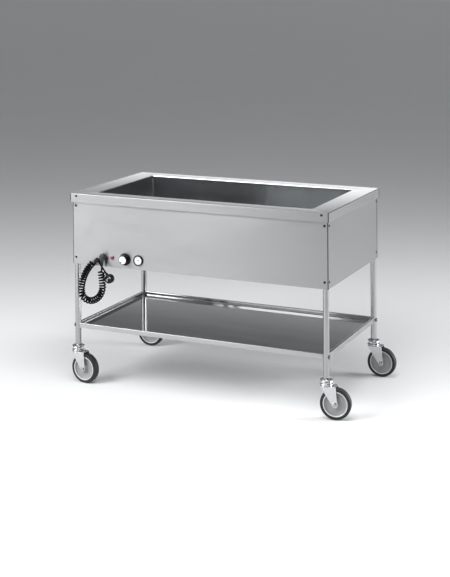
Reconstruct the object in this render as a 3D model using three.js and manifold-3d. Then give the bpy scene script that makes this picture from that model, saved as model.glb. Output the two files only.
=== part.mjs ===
// Heated steam table trolley: a water well in a stainless casing on four tube legs, with a tray shelf,
// four swivel casters, a control row at the left of the front panel and a curly mains cord.
// Millimetres, +Z up, +X along the length, front towards -Y. The origin is on the floor, at the centre
// of the box round everything except the cord.
import * as THREE from "three";
import { mergeVertices } from "three/addons/utils/BufferGeometryUtils.js";
import Module from "manifold-3d";

const wasm = await Module();
wasm.setup();

// ---------- driving dimensions ----------
const GAP = 0.3; // left between pieces that touch
const PAST = 1; // how far a cutter runs past the face it cuts
const HALF = 0.5;
const QUARTER_TURN = Math.PI * HALF;

const rim = { length: 1180, width: 650, top: 816, drop: 38, sheet: 1.5 };
const well = { left: 99, right: 91, front: 61, back: 77, depth: 204, corner: 4, sheet: 1.5, flange: 22 };
const casing = { insetX: 6.5, insetY: 11, bottom: 512, top: 812, sheet: 1.2, hem: 15 };
const leg = { radius: 12.5, wall: 1.5, bottom: 162, sides: 16 };
const shelf = { top: 254, skirt: 20, lip: 12, sunk: 16, sheet: 1.5, overLeg: 8 };
const bolt = { radius: 3, head: 6.5, headHeight: 4.5, height: 243, tab: 2, tabHalf: 8, pastTab: 7, sides: 8 };
const wheel = { radius: 62.5, width: 32, trail: 37, rimRadius: 50, sides: 32, coreSides: 24 };
const axle = { radius: 6, clearance: 0.08, head: 9, headHeight: 5, sides: 16 };
const fork = {
  plate: 2.5, sideGap: 3, crownBottom: 130, crownTop: 133, crownRadius: 27, back: 19, reach: 41, eye: 11.5,
};
const head = { collar: 24.5, brim: 28, stem: 40, sides: 16 };
const king = { radius: 6, clearance: 0.1, rivet: 9, rivetHeight: 3 };
const knob = {
  x: -328, z: 551, skirt: 26, grip: 19, depth: 24, cap: 17.5, capSunk: 1.2, shaft: 4, sides: 24,
};
const thermostatBox = { halfWidth: 20, halfHeight: 18, depth: 34 };
const gauge = {
  x: -264.5, z: 551.5, bezel: 22.5, body: 17.8, face: 18.2, proud: 7, floor: 2.2, depth: 24, sides: 24,
};
const pointer = { reach: 14.5, tail: 6.5, halfWidth: 1.3, thick: 0.6, hub: 2.4, pin: 0.8, angle: 172 };
const lamp = { x: -390, z: 552, lens: 7.5, bezel: 9.5, shank: 5, proud: 9 };
const relief = { x: -432, top: 556, bottom: 516, radius: 12, nose: 6.2, depth: 18 };
const peg = { x: -450, z: 538.5, radius: 5.5, head: 8, reach: 36, thread: 3 };
const cord = { radius: 3.5, coil: 15, standOff: 18, sides: 8, coilSides: 10 };
const plug = { x: -384, z: 471, standOff: 34, radius: 19, thick: 28, pin: 2.4, pinGap: 9.5, pinLength: 19 };
const drain = {
  x: 400, y: 200, hole: 11, pipe: 12, wall: 2.5, flange: 20, valveTop: 479, valveBottom: 442, valve: 17,
};
const lever = { near: 24, far: 31, hub: 8, plate: 4, width: 12, length: 65, grip: 15, gripFrom: 22 };
const heater = { radius: 4, runs: 6, length: 860, spacing: 70 };
const bulb = { radius: 4, z: 619, x0: -200, x1: -60 };

// ---------- places worked out from them ----------
const panelX = rim.length * HALF - casing.insetX;
const panelY = rim.width * HALF - casing.insetY;
const legX = panelX - casing.sheet - GAP - leg.radius;
const legY = panelY - casing.sheet - GAP - leg.radius;
const wellBox = {
  x0: -rim.length * HALF + well.left,
  x1: rim.length * HALF - well.right,
  y0: -rim.width * HALF + well.front,
  y1: rim.width * HALF - well.back,
};
const underRim = rim.top - rim.sheet - GAP;
const wellFloor = rim.top - well.depth;
const wellUnder = wellFloor - well.sheet;
// Name, side along X, side along Y, and how far that caster stands turned about its leg, in degrees.
const corners = [
  ["front_left", -1, -1, -5],
  ["front_right", 1, -1, 8],
  ["rear_left", -1, 1, 4],
  ["rear_right", 1, 1, 1],
];

// ---------- finishes ----------
const finish = (color, metalness, roughness) =>
  new THREE.MeshStandardMaterial({ color, metalness, roughness });
const STEEL = finish(0xc3c6c8, 1.0, 0.32);
const POLISHED = finish(0xd0d2d3, 1.0, 0.18);
const ZINC = finish(0xd9dadb, 1.0, 0.25);
const BLACK = finish(0x131414, 0.0, 0.42);
const RUBBER = finish(0x2b2d2e, 0.0, 0.75);
const GREY = finish(0x8f9394, 0.0, 0.5);
const WHITE = finish(0xf0f0ee, 0.0, 0.5);
const RED = finish(0x8c1420, 0.0, 0.2);
const GLASS = finish(0xe8eef0, 0.0, 0.05);
const WOOL = finish(0xcfc9b8, 0.0, 0.95);
const BRASS = finish(0xc9b26a, 1.0, 0.3);

// ---------- solids ----------
function solid(geometry) {
  const plain = geometry.index ? geometry.toNonIndexed() : geometry.clone();
  plain.deleteAttribute("normal");
  plain.deleteAttribute("uv");
  const merged = mergeVertices(plain, 1e-3);
  return new wasm.Manifold(
    new wasm.Mesh({
      numProp: 3,
      vertProperties: merged.attributes.position.array,
      triVerts: new Uint32Array(merged.index.array),
    }),
  );
}

function geometryOf(body) {
  const mesh = body.getMesh();
  const geometry = new THREE.BufferGeometry();
  geometry.setAttribute("position", new THREE.BufferAttribute(mesh.vertProperties, 3));
  geometry.setIndex(new THREE.BufferAttribute(mesh.triVerts, 1));
  geometry.computeVertexNormals();
  return geometry;
}

const join = (first, ...rest) => rest.reduce((sum, next) => sum.add(next), first);
const cut = (first, ...rest) => rest.reduce((left, next) => left.subtract(next), first);

function block(x0, x1, y0, y1, z0, z1) {
  const box = new THREE.BoxGeometry(x1 - x0, y1 - y0, z1 - z0);
  return solid(box.translate((x0 + x1) * HALF, (y0 + y1) * HALF, (z0 + z1) * HALF));
}

// A rod between two points; a second radius makes it a cone.
function rod(from, to, radius, endRadius = radius, sides = 24) {
  const start = new THREE.Vector3(...from);
  const end = new THREE.Vector3(...to);
  const along = end.clone().sub(start);
  const shape = new THREE.CylinderGeometry(endRadius, radius, along.length(), sides);
  const turn = new THREE.Quaternion().setFromUnitVectors(
    new THREE.Vector3(0, 1, 0),
    along.clone().normalize(),
  );
  shape.applyQuaternion(turn);
  const middle = start.add(end).multiplyScalar(HALF);
  return solid(shape.translate(middle.x, middle.y, middle.z));
}

// A turned piece about Z from [radius, height] pairs, in either direction round the outline.
function turnedZ(outline, sides) {
  const points = outline.map(([radius, height]) => new THREE.Vector2(radius, height));
  if (THREE.ShapeUtils.area(points) < 0) points.reverse();
  const lathe = new THREE.LatheGeometry(points, sides);
  return lathe.rotateX(QUARTER_TURN);
}

// The same about Y, with the pairs as [radius, distance towards the front].
function turnedY(outline, sides) {
  return turnedZ(outline, sides).rotateX(QUARTER_TURN);
}

// A rectangle with round corners, as an outline seen from above.
function roundedOutline(Kind, x0, x1, y0, y1, radius) {
  const outline = new Kind();
  outline.moveTo(x0 + radius, y0);
  outline.lineTo(x1 - radius, y0);
  outline.absarc(x1 - radius, y0 + radius, radius, -QUARTER_TURN, 0, false);
  outline.lineTo(x1, y1 - radius);
  outline.absarc(x1 - radius, y1 - radius, radius, 0, QUARTER_TURN, false);
  outline.lineTo(x0 + radius, y1);
  outline.absarc(x0 + radius, y1 - radius, radius, QUARTER_TURN, Math.PI, false);
  outline.lineTo(x0, y0 + radius);
  outline.absarc(x0 + radius, y0 + radius, radius, Math.PI, Math.PI * 1.5, false);
  return outline;
}

function slab(shape, z0, z1, curveSegments = 3) {
  const options = { depth: z1 - z0, bevelEnabled: false, curveSegments };
  return solid(new THREE.ExtrudeGeometry(shape, options).translate(0, 0, z0));
}

function tube(points, radius, sides, steps) {
  const route = new THREE.CatmullRomCurve3(points.map((point) => new THREE.Vector3(...point)));
  return sweep(route, radius, sides, steps);
}

function sweep(route, radius, sides, steps) {
  const section = new THREE.Shape();
  for (let side = 0; side < sides; side += 1) {
    const angle = (side * Math.PI * 2) / sides;
    const x = radius * Math.cos(angle);
    const y = radius * Math.sin(angle);
    if (side === 0) section.moveTo(x, y);
    else section.lineTo(x, y);
  }
  return new THREE.ExtrudeGeometry(section, { steps, extrudePath: route, bevelEnabled: false });
}

// The circumradius of a faceted bore whose flats stay clear of a turning pin.
const boreFor = (pin, clearance, sides) => (pin + clearance) / Math.cos(Math.PI / sides);

const trolley = new THREE.Group();

function place(name, shape, material, parent = trolley) {
  const geometry = shape.isBufferGeometry ? shape : geometryOf(shape);
  const mesh = new THREE.Mesh(geometry, material);
  mesh.name = name;
  parent.add(mesh);
  return mesh;
}

// ---------- top and well ----------
function rectangle(halfX, halfY) {
  const shape = new THREE.Shape();
  shape.moveTo(-halfX, -halfY);
  shape.lineTo(halfX, -halfY);
  shape.lineTo(halfX, halfY);
  shape.lineTo(-halfX, halfY);
  return shape;
}

function topRim() {
  const halfX = rim.length * HALF;
  const halfY = rim.width * HALF;
  const plate = rectangle(halfX, halfY);
  plate.holes.push(
    roundedOutline(THREE.Path, wellBox.x0, wellBox.x1, wellBox.y0, wellBox.y1, well.corner),
  );
  const skirt = rectangle(halfX, halfY);
  skirt.holes.push(rectangle(halfX - rim.sheet, halfY - rim.sheet));
  return join(
    slab(plate, rim.top - rim.sheet, rim.top),
    slab(skirt, rim.top - rim.drop, rim.top - rim.sheet * HALF),
  );
}

function wellTank() {
  const { x0, x1, y0, y1 } = wellBox;
  const out = well.sheet;
  const wide = well.flange;
  const outer = roundedOutline(
    THREE.Shape, x0 - out, x1 + out, y0 - out, y1 + out, well.corner + out,
  );
  const inner = roundedOutline(THREE.Shape, x0, x1, y0, y1, well.corner);
  const lip = roundedOutline(
    THREE.Shape, x0 - wide, x1 + wide, y0 - wide, y1 + wide, well.corner + wide,
  );
  const tub = join(
    slab(outer, wellUnder, underRim),
    slab(lip, underRim - well.sheet, underRim),
  );
  const drainHole = rod(
    [drain.x, drain.y, wellUnder - PAST], [drain.x, drain.y, wellFloor + PAST], drain.hole,
  );
  return cut(tub, slab(inner, wellFloor, rim.top), drainHole);
}

// ---------- casing ----------
function holeThroughFront(x, z, radius, sides = 16) {
  return rod(
    [x, -panelY - PAST, z], [x, -panelY + casing.sheet + PAST, z], radius, radius, sides,
  );
}

// How far a panel's folded bottom edge runs before it stops short of the leg.
const hemEndFrom = (legCentre) => legCentre - leg.radius - 5;

function frontPanel() {
  const sheet = block(
    -panelX, panelX, -panelY, -panelY + casing.sheet, casing.bottom, casing.top,
  );
  const hemEnd = hemEndFrom(legX);
  const hem = block(
    -hemEnd, hemEnd, -panelY, -panelY + casing.hem, casing.bottom, casing.bottom + casing.sheet,
  );
  return cut(
    join(sheet, hem),
    holeThroughFront(knob.x, knob.z, knob.shaft + 2),
    holeThroughFront(gauge.x, gauge.z, gauge.body + GAP * 1.7, gauge.sides),
    holeThroughFront(lamp.x, lamp.z, lamp.shank + GAP),
    holeThroughFront(relief.x, relief.top, relief.nose + GAP),
    holeThroughFront(peg.x, peg.z, peg.thread + GAP),
  );
}

function rearPanel() {
  const hemEnd = hemEndFrom(legX);
  return join(
    block(-panelX, panelX, panelY - casing.sheet, panelY, casing.bottom, casing.top),
    block(
      -hemEnd, hemEnd, panelY - casing.hem, panelY, casing.bottom, casing.bottom + casing.sheet,
    ),
  );
}

function sidePanel(side) {
  const endY = panelY - casing.sheet - GAP;
  const hemEnd = hemEndFrom(legY);
  const face = side * panelX;
  const back = side * (panelX - casing.sheet);
  const hemBack = side * (panelX - casing.hem);
  const upright = block(
    Math.min(face, back), Math.max(face, back), -endY, endY, casing.bottom, casing.top,
  );
  const hem = block(
    Math.min(face, hemBack), Math.max(face, hemBack),
    -hemEnd, hemEnd, casing.bottom, casing.bottom + casing.sheet,
  );
  return join(upright, hem);
}

function bottomCover() {
  const endX = panelX - casing.sheet - GAP;
  const endY = panelY - casing.sheet - GAP;
  const low = casing.bottom + casing.sheet + GAP;
  const high = low + casing.sheet;
  const notch = leg.radius * 1.1;
  const legNotches = corners.map(([, sx, sy]) =>
    block(
      sx * legX - notch, sx * legX + notch, sy * legY - notch, sy * legY + notch, low - PAST, high + PAST,
    ),
  );
  const pipeHole = rod(
    [drain.x, drain.y, low - PAST], [drain.x, drain.y, high + PAST], drain.pipe + 1,
  );
  return cut(block(-endX, endX, -endY, endY, low, high), ...legNotches, pipeHole);
}

// ---------- legs and shelf ----------
function legTube(side) {
  const bored = leg.radius - leg.wall;
  const outer = rod([0, 0, leg.bottom], [0, 0, casing.top], leg.radius, leg.radius, leg.sides);
  const bore = rod(
    [0, 0, leg.bottom - PAST], [0, 0, casing.top + PAST], bored, bored, leg.sides,
  );
  const boltHole = rod(
    [-leg.radius * 2, 0, bolt.height], [leg.radius * 2, 0, bolt.height],
    bolt.radius + GAP, bolt.radius + GAP, bolt.sides,
  );
  return cut(outer, bore, boltHole).translate([side[0] * legX, side[1] * legY, 0]);
}

function lowerShelf() {
  const halfX = legX + shelf.overLeg;
  const halfY = legY + shelf.overLeg;
  const low = shelf.top - shelf.skirt;
  const deckTop = shelf.top - shelf.sunk;
  const inX = halfX - shelf.lip;
  const inY = halfY - shelf.lip;
  const under = shelf.sheet;
  const bodyBlock = block(-halfX, halfX, -halfY, halfY, low, shelf.top);
  const sunkDeck = block(-inX, inX, -inY, inY, deckTop, shelf.top + PAST);
  const underside = block(
    -halfX + under, halfX - under, -halfY + under, halfY - under, low - PAST, shelf.top - under,
  );
  const pan = block(-inX - under, inX + under, -inY - under, inY + under, deckTop - under, shelf.top);
  const tray = join(cut(bodyBlock, underside), pan);
  const open = cut(tray, sunkDeck);
  const tabs = corners.map(([, sx, sy]) => shelfTab(sx, sy, deckTop));
  const legHole = leg.radius + GAP * 3;
  const legHoles = corners.map(([, sx, sy]) => {
    const foot = [sx * legX, sy * legY, low - PAST];
    const top = [sx * legX, sy * legY, shelf.top + PAST];
    return rod(foot, top, legHole, legHole, leg.sides);
  });
  return cut(join(open, ...tabs.map((tab) => tab.plate)), ...legHoles, ...tabs.map((tab) => tab.hole));
}

// The bolt ends past its tab, inside the shelf's raised edge.
const boltTip = (sx) => sx * (legX - leg.radius - bolt.tab - bolt.pastTab);

// The upright tab beside each leg that its bolt goes into.
function shelfTab(sx, sy, deckTop) {
  const near = sx * (legX - leg.radius - GAP * 3);
  const far = near - sx * bolt.tab;
  const y = sy * legY;
  const plate = block(
    Math.min(near, far), Math.max(near, far), y - bolt.tabHalf, y + bolt.tabHalf,
    deckTop - PAST, shelf.top - 1,
  );
  const hole = rod(
    [boltTip(sx) - sx * PAST, y, bolt.height], [near + sx * PAST, y, bolt.height],
    bolt.radius + GAP, bolt.radius + GAP, bolt.sides,
  );
  return { plate, hole };
}

function shelfBolt(sx, sy) {
  const face = sx * (legX + leg.radius + GAP);
  const y = sy * legY;
  const headEnd = face + sx * bolt.headHeight;
  const tip = boltTip(sx);
  return join(
    rod([face, y, bolt.height], [headEnd, y, bolt.height], bolt.head, bolt.head * 0.8, 6),
    rod([face + sx, y, bolt.height], [tip, y, bolt.height], bolt.radius, bolt.radius, bolt.sides),
  );
}

// ---------- casters: each in a group whose origin is on the floor under its leg ----------
function casterHead() {
  const stem = leg.radius - leg.wall - GAP;
  const outline = [
    [0, leg.bottom + head.stem],
    [stem, leg.bottom + head.stem],
    [stem, leg.bottom - GAP],
    [leg.radius + 1, leg.bottom - GAP],
    [head.brim - 1, leg.bottom - 6],
    [head.collar, leg.bottom - 9],
    [head.collar, leg.bottom - 17],
    [head.brim, leg.bottom - 22],
    [head.brim - 2, fork.crownTop + GAP],
    [king.radius, fork.crownTop + GAP],
    [king.radius, fork.crownBottom - GAP],
    [king.rivet, fork.crownBottom - GAP],
    [king.rivet, fork.crownBottom - GAP - king.rivetHeight],
    [0, fork.crownBottom - GAP - king.rivetHeight],
  ];
  return turnedZ(outline, head.sides);
}

// One pressed side of the fork: wide under the crown, narrowing to a round eye at the axle.
function forkSide(side) {
  const inner = wheel.width * HALF + fork.sideGap;
  const low = wheel.radius - fork.eye;
  const shape = new THREE.Shape();
  shape.moveTo(-fork.back, fork.crownTop);
  shape.lineTo(20, wheel.radius);
  shape.quadraticCurveTo(26, low, wheel.trail, low);
  shape.absarc(wheel.trail, wheel.radius, fork.eye, -QUARTER_TURN, Math.PI * 0.03, false);
  shape.lineTo(fork.reach, fork.crownBottom - 8);
  shape.lineTo(fork.reach, fork.crownTop);
  const options = { depth: fork.plate, bevelEnabled: false, curveSegments: 5 };
  const plate = new THREE.ExtrudeGeometry(shape, options).rotateX(QUARTER_TURN);
  const y = side > 0 ? inner + fork.plate : -inner;
  return solid(plate.translate(0, y, 0));
}

function casterFork() {
  const half = wheel.width * HALF + fork.sideGap + fork.plate;
  const disc = rod(
    [0, 0, fork.crownBottom], [0, 0, fork.crownTop], fork.crownRadius, fork.crownRadius, 20,
  );
  const bridge = block(1 - fork.back, fork.reach, -half, half, fork.crownBottom, fork.crownTop);
  const bore = boreFor(king.radius, king.clearance, head.sides);
  const kingHole = rod(
    [0, 0, fork.crownBottom - PAST], [0, 0, fork.crownTop + PAST], bore, bore, head.sides,
  );
  const axleHole = rod(
    [wheel.trail, -half - PAST, wheel.radius], [wheel.trail, half + PAST, wheel.radius],
    axle.radius + GAP, axle.radius + GAP, axle.sides,
  );
  return cut(join(disc, bridge, forkSide(-1), forkSide(1)), kingHole, axleHole);
}

function casterAxle() {
  const half = wheel.width * HALF + fork.sideGap + fork.plate + GAP;
  const at = (y) => [wheel.trail, y, wheel.radius];
  return join(
    rod(at(-half - PAST), at(half + PAST), axle.radius, axle.radius, axle.sides),
    rod(at(-half - axle.headHeight), at(-half), axle.head - 1, axle.head, 6),
    rod(at(half), at(half + axle.headHeight), axle.head, axle.head - 1, 6),
  );
}

// The dished wheel centre with its hub, turned about its own axle.
function wheelCore() {
  const bore = boreFor(axle.radius, axle.clearance, wheel.coreSides);
  const half = wheel.width * HALF;
  const face = [
    [bore, half + 1],
    [15, half + 1],
    [24, 6],
    [wheel.rimRadius - GAP, half - 3],
  ];
  const back = face.map(([radius, depth]) => [radius, -depth]).reverse();
  return turnedY([...face, ...back, face[0]], wheel.coreSides);
}

function wheelTyre() {
  const half = wheel.width * HALF;
  const inner = boreFor(wheel.rimRadius, 0, wheel.sides);
  const face = [
    [inner, half - 3],
    [57, half],
    [wheel.radius, half * HALF],
  ];
  const back = face.map(([radius, depth]) => [radius, -depth]).reverse();
  return turnedY([...face, ...back, face[0]], wheel.sides);
}

function caster(name, sx, sy, turn) {
  const group = new THREE.Group();
  group.position.set(sx * legX, sy * legY, 0);
  group.rotation.z = THREE.MathUtils.degToRad(turn);
  trolley.add(group);
  place("caster_head_" + name, casterHead(), ZINC, group);
  place("caster_fork_" + name, casterFork(), ZINC, group);
  place("caster_axle_" + name, casterAxle(), ZINC, group);
  const spin = new THREE.Group();
  spin.position.set(wheel.trail, 0, wheel.radius);
  group.add(spin);
  place("wheel_" + name, wheelCore(), GREY, spin);
  place("tyre_" + name, wheelTyre(), RUBBER, spin);
}

// ---------- control row; each piece is turned about an axis that runs to the front ----------
function atPanel(x, z) {
  const group = new THREE.Group();
  group.position.set(x, -panelY, z);
  trolley.add(group);
  return group;
}

function thermostat() {
  const spot = atPanel(knob.x, knob.z);
  const shaftEnd = -casing.sheet - 14;
  const recess = knob.depth - knob.capSunk;
  const grip = [
    [0, shaftEnd],
    [knob.shaft, shaftEnd],
    [knob.shaft, 1],
    [knob.skirt, 1],
    [knob.skirt, 4],
    [knob.grip + 1.5, 6.5],
    [knob.grip, knob.depth],
    [knob.cap + GAP, knob.depth],
    [knob.cap + GAP, recess],
    [0, recess],
  ];
  place("control_knob", turnedY(grip, knob.sides), BLACK, spot);
  const cap = [
    [0, recess + GAP],
    [knob.cap, recess + GAP],
    [knob.cap, knob.depth + 0.4],
    [0, knob.depth + 0.4],
  ];
  place("knob_cap", turnedY(cap, knob.sides), POLISHED, spot);
  const back = casing.sheet + GAP;
  const bore = boreFor(knob.shaft, 0.1, knob.sides);
  const { halfWidth, halfHeight, depth } = thermostatBox;
  const housing = cut(
    block(-halfWidth, halfWidth, back, back + depth, -halfHeight, halfHeight),
    rod([0, back - PAST, 0], [0, PAST - shaftEnd, 0], bore, bore, knob.sides),
  );
  place("thermostat_body", housing, BLACK, spot);
}

function thermometer() {
  const spot = atPanel(gauge.x, gauge.z);
  const { floor, face, proud } = gauge;
  const shell = [
    [0, -gauge.depth],
    [gauge.body - 3, -gauge.depth],
    [gauge.body, -gauge.depth + 3],
    [gauge.body, GAP],
    [gauge.bezel, GAP],
    [gauge.bezel, proud - 2],
    [gauge.bezel - 2, proud],
    [face + GAP, proud],
    [face + GAP, floor],
    [0, floor],
  ];
  place("thermometer_case", turnedY(shell, gauge.sides), BLACK, spot);
  const dial = [
    [0, floor + GAP],
    [face, floor + GAP],
    [face, floor + 1],
    [pointer.pin, floor + 1],
    [pointer.pin, floor + 2.4],
    [0, floor + 2.4],
  ];
  place("thermometer_dial", turnedY(dial, gauge.sides), WHITE, spot);
  place("thermometer_needle", needle(floor + 1 + GAP), BLACK, spot);
  const pane = [
    [0, proud - 1.7],
    [face, proud - 1.7],
    [face, proud - 0.6],
    [0, proud - 0.6],
  ];
  place("thermometer_glass", turnedY(pane, gauge.sides), GLASS, spot);
}

// The needle lies towards the cold end of the scale, with a short counterweight tail.
function needle(front) {
  const { reach, tail, halfWidth, thick, hub, pin } = pointer;
  const shape = new THREE.Shape();
  shape.moveTo(-tail, -halfWidth);
  shape.lineTo(reach, -thick * HALF);
  shape.lineTo(reach, thick * HALF);
  shape.lineTo(-tail, halfWidth);
  const centre = rod([0, 0, 0], [0, 0, thick + 0.3], hub, hub, 16);
  const bore = pin + 0.1;
  const hole = rod([0, 0, -PAST], [0, 0, thick + PAST], bore, bore, 12);
  const flat = geometryOf(cut(join(slab(shape, 0, thick), centre), hole));
  flat.rotateZ(THREE.MathUtils.degToRad(pointer.angle));
  return flat.rotateX(QUARTER_TURN).translate(0, -front, 0);
}

function pilotLamp() {
  const spot = atPanel(lamp.x, lamp.z);
  const ring = [
    [lamp.shank + GAP, GAP],
    [lamp.bezel, GAP],
    [lamp.bezel, 1.4],
    [lamp.bezel - 1, 2.2],
    [lamp.shank + GAP, 2.2],
    [lamp.shank + GAP, GAP],
  ];
  place("pilot_lamp_bezel", turnedY(ring, 20), POLISHED, spot);
  const lens = [
    [0, -casing.sheet - 12],
    [lamp.shank, -casing.sheet - 12],
    [lamp.shank, 2.5],
    [lamp.lens, 2.5],
    [lamp.lens, 4.5],
    [lamp.lens * 0.86, 6.8],
    [lamp.lens * 0.5, 8.5],
    [0, lamp.proud],
  ];
  place("pilot_lamp_lens", turnedY(lens, 20), RED, spot);
}

// ---------- cord: strain relief, peg, lead, coil, tail and plug ----------
function strainRelief() {
  const y = -panelY - relief.depth;
  const dome = rod([relief.x, -panelY - GAP, relief.top], [relief.x, y - 6, relief.top], relief.radius);
  const shank = rod(
    [relief.x, -panelY - 2, relief.top], [relief.x, -panelY + 12, relief.top], relief.nose,
  );
  const boot = rod(
    [relief.x, y, relief.top], [relief.x, y, relief.bottom], relief.radius - 2, relief.nose,
  );
  return join(dome, shank, boot);
}

function cordPeg() {
  const outline = [
    [0, -casing.sheet - 10],
    [peg.thread, -casing.sheet - 10],
    [peg.thread, GAP],
    [peg.radius, GAP],
    [peg.radius, peg.reach - 4],
    [peg.head, peg.reach - 3.4],
    [peg.head, peg.reach - 1.2],
    [peg.head - 2, peg.reach],
    [0, peg.reach],
  ];
  return turnedY(outline, 20);
}

// Middle line of the hanging coil, as [x, z] from the relief side round to the peg side.
const coilLine = [
  [-436, 501], [-434.5, 481], [-431, 460], [-429, 437], [-431, 414], [-441, 392],
  [-459, 374], [-483, 364], [-506, 365.5], [-524, 377.5], [-532, 397.5], [-532.5, 419.5],
  [-527, 445.5], [-516, 473.5], [-500, 499.5], [-483, 519.5], [-466.5, 534],
];
const coilY = -panelY - cord.standOff;

const leadLine = [
  [relief.x, coilY, relief.bottom - GAP],
  [relief.x, coilY, relief.bottom - 2.5],
  [relief.x - 2, coilY, relief.bottom - 8],
  [relief.x - 4, coilY, relief.bottom - 12],
  [relief.x - 4, coilY, 501 + GAP * 1.5],
];

const tailLine = [
  [-466.1, coilY, 534.4],
  [-463.1, coilY, 537.1],
  [-459, coilY - 2.5, 543.3],
  [-453.5, coilY - 5.5, 547.8],
  [-449, coilY - 7.5, 549],
  [-444, coilY - 10, 546.6],
  [-440.5, coilY - 12, 541.5],
  [-434, coilY - 13.5, 530.5],
  [-425, coilY - 14, 518],
  [-413, coilY - 15, 504.5],
  [-401.6, -panelY - plug.standOff, 491.3],
];

function cordPieces() {
  const coilPoints = coilLine.map(([x, z]) => [x, coilY, z]);
  place("cord_lead", tube(leadLine, cord.radius, cord.sides, 6), BLACK);
  place("cord_coil", tube(coilPoints, cord.coil, cord.coilSides, 28), BLACK);
  place("cord_tail", tube(tailLine, cord.radius, cord.sides, 14), BLACK);
}

// The plug is round, its cord enters at the edge, and its two pins point to the front.
function mainsPlug() {
  const y = -panelY - plug.standOff;
  const back = y + plug.thick * HALF;
  const front = y - plug.thick * HALF;
  const end = new THREE.Vector3(...tailLine.at(-1));
  const before = new THREE.Vector3(...tailLine.at(-2));
  const along = end.clone().sub(before).normalize();
  const mouth = end.clone().addScaledVector(along, GAP);
  const middle = new THREE.Vector3(plug.x, y, plug.z);
  const spread = new THREE.Vector3(-along.z, 0, along.x).multiplyScalar(plug.pinGap);
  const disc = join(
    rod([plug.x, back, plug.z], [plug.x, y + 6, plug.z], plug.radius - 5, plug.radius),
    rod([plug.x, y + 6, plug.z], [plug.x, front, plug.z], plug.radius),
  );
  const neck = rod(mouth.toArray(), middle.toArray(), 5.5, 10, 20);
  const pinEnds = [-1, 1].map((side) => middle.clone().addScaledVector(spread, side));
  const sockets = pinEnds.map((pin) =>
    rod([pin.x, front - 1, pin.z], [pin.x, front + 8, pin.z], plug.pin + GAP, plug.pin + GAP, 16),
  );
  place("mains_plug", cut(join(disc, neck), ...sockets), BLACK);
  pinEnds.forEach((pin, index) => {
    const tip = front - plug.pinLength;
    const shape = join(
      rod([pin.x, front + 7.5, pin.z], [pin.x, tip + 2, pin.z], plug.pin, plug.pin, 16),
      rod([pin.x, tip + 2, pin.z], [pin.x, tip, pin.z], plug.pin, plug.pin * HALF, 16),
    );
    place("plug_pin_" + (index + 1), shape, BRASS);
  });
}

// ---------- inside and underneath ----------
function heatingElement() {
  const z = wellUnder - GAP - heater.radius;
  const route = new THREE.CurvePath();
  const bend = heater.spacing * HALF;
  const y0 = -heater.spacing * (heater.runs - 1) * HALF - 8;
  const half = heater.length * HALF;
  for (let run = 0; run < heater.runs; run += 1) {
    const y = y0 + run * heater.spacing;
    const way = run % 2 === 0 ? 1 : -1;
    route.add(
      new THREE.LineCurve3(new THREE.Vector3(-way * half, y, z), new THREE.Vector3(way * half, y, z)),
    );
    if (run < heater.runs - 1) {
      const turn = [0, 0.25, 0.5, 0.75, 1].map((part) => {
        const angle = -QUARTER_TURN + part * Math.PI;
        const x = way * (half + bend * Math.cos(angle));
        return new THREE.Vector3(x, y + bend + bend * Math.sin(angle), z);
      });
      route.add(new THREE.CatmullRomCurve3(turn));
    }
  }
  return sweep(route, heater.radius, 6, 54);
}

function drainPieces() {
  const { x, y, pipe, valveTop, valveBottom } = drain;
  const low = valveTop + GAP;
  const flangeTop = wellUnder - GAP;
  const bore = pipe - drain.wall;
  const outlet = cut(
    join(
      rod([x, y, low], [x, y, flangeTop], pipe),
      rod([x, y, flangeTop - drain.wall], [x, y, flangeTop], drain.flange),
    ),
    rod([x, y, low - PAST], [x, y, flangeTop + PAST], bore),
  );
  place("drain_pipe", outlet, STEEL);
  const middle = (valveTop + valveBottom) * HALF;
  const spout = 14;
  const valve = join(
    rod([x, y, valveBottom], [x, y, valveTop], drain.valve, drain.valve, 8),
    rod([x, y, valveBottom - spout], [x, y, valveBottom + PAST], pipe - 1),
    rod([x - pipe, y, middle], [x - lever.near, y, middle], lever.hub - 1),
  );
  place("drain_valve", valve, BRASS);
  const end = x - lever.far;
  const halfWidth = lever.width * HALF;
  const halfGrip = lever.grip * HALF;
  const hub = rod([x - lever.near - GAP, y, middle], [end, y, middle], lever.hub);
  const arm = block(
    end, end + lever.plate, y, y + lever.length, middle - halfWidth, middle + halfWidth,
  );
  const grip = block(
    end - 1.5, end + lever.plate + 1.5, y + lever.gripFrom, y + lever.length + 2,
    middle - halfGrip, middle + halfGrip,
  );
  place("drain_lever", join(hub, arm, grip), RED);
}

function innerPieces() {
  place("heating_element", heatingElement(), STEEL);
  place("insulation_board", block(-478, 385, -250, 235, 570, 596), WOOL);
  place("terminal_box", block(-480, -415, -panelY + 30, -panelY + 85, 519, 568), GREY);
  const bulbY = wellBox.y0 - well.sheet - GAP - bulb.radius;
  const { radius, z, x0, x1 } = bulb;
  place("thermostat_bulb", rod([x0, bulbY, z], [x1, bulbY, z], radius, radius, 12), BRASS);
}

// ---------- assembly ----------
place("top_rim", topRim(), STEEL);
place("well_tank", wellTank(), POLISHED);
place("front_panel", frontPanel(), STEEL);
place("rear_panel", rearPanel(), STEEL);
place("left_panel", sidePanel(-1), STEEL);
place("right_panel", sidePanel(1), STEEL);
place("bottom_cover", bottomCover(), STEEL);
place("lower_shelf", lowerShelf(), POLISHED);
for (const [name, sx, sy, turn] of corners) {
  place("leg_" + name, legTube([sx, sy]), STEEL);
  place("shelf_bolt_" + name, shelfBolt(sx, sy), ZINC);
  caster(name, sx, sy, turn);
}
thermostat();
thermometer();
pilotLamp();
place("cord_strain_relief", strainRelief(), BLACK);
place("cord_peg", cordPeg(), POLISHED, atPanel(peg.x, peg.z));
cordPieces();
mainsPlug();
innerPieces();
drainPieces();

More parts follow.
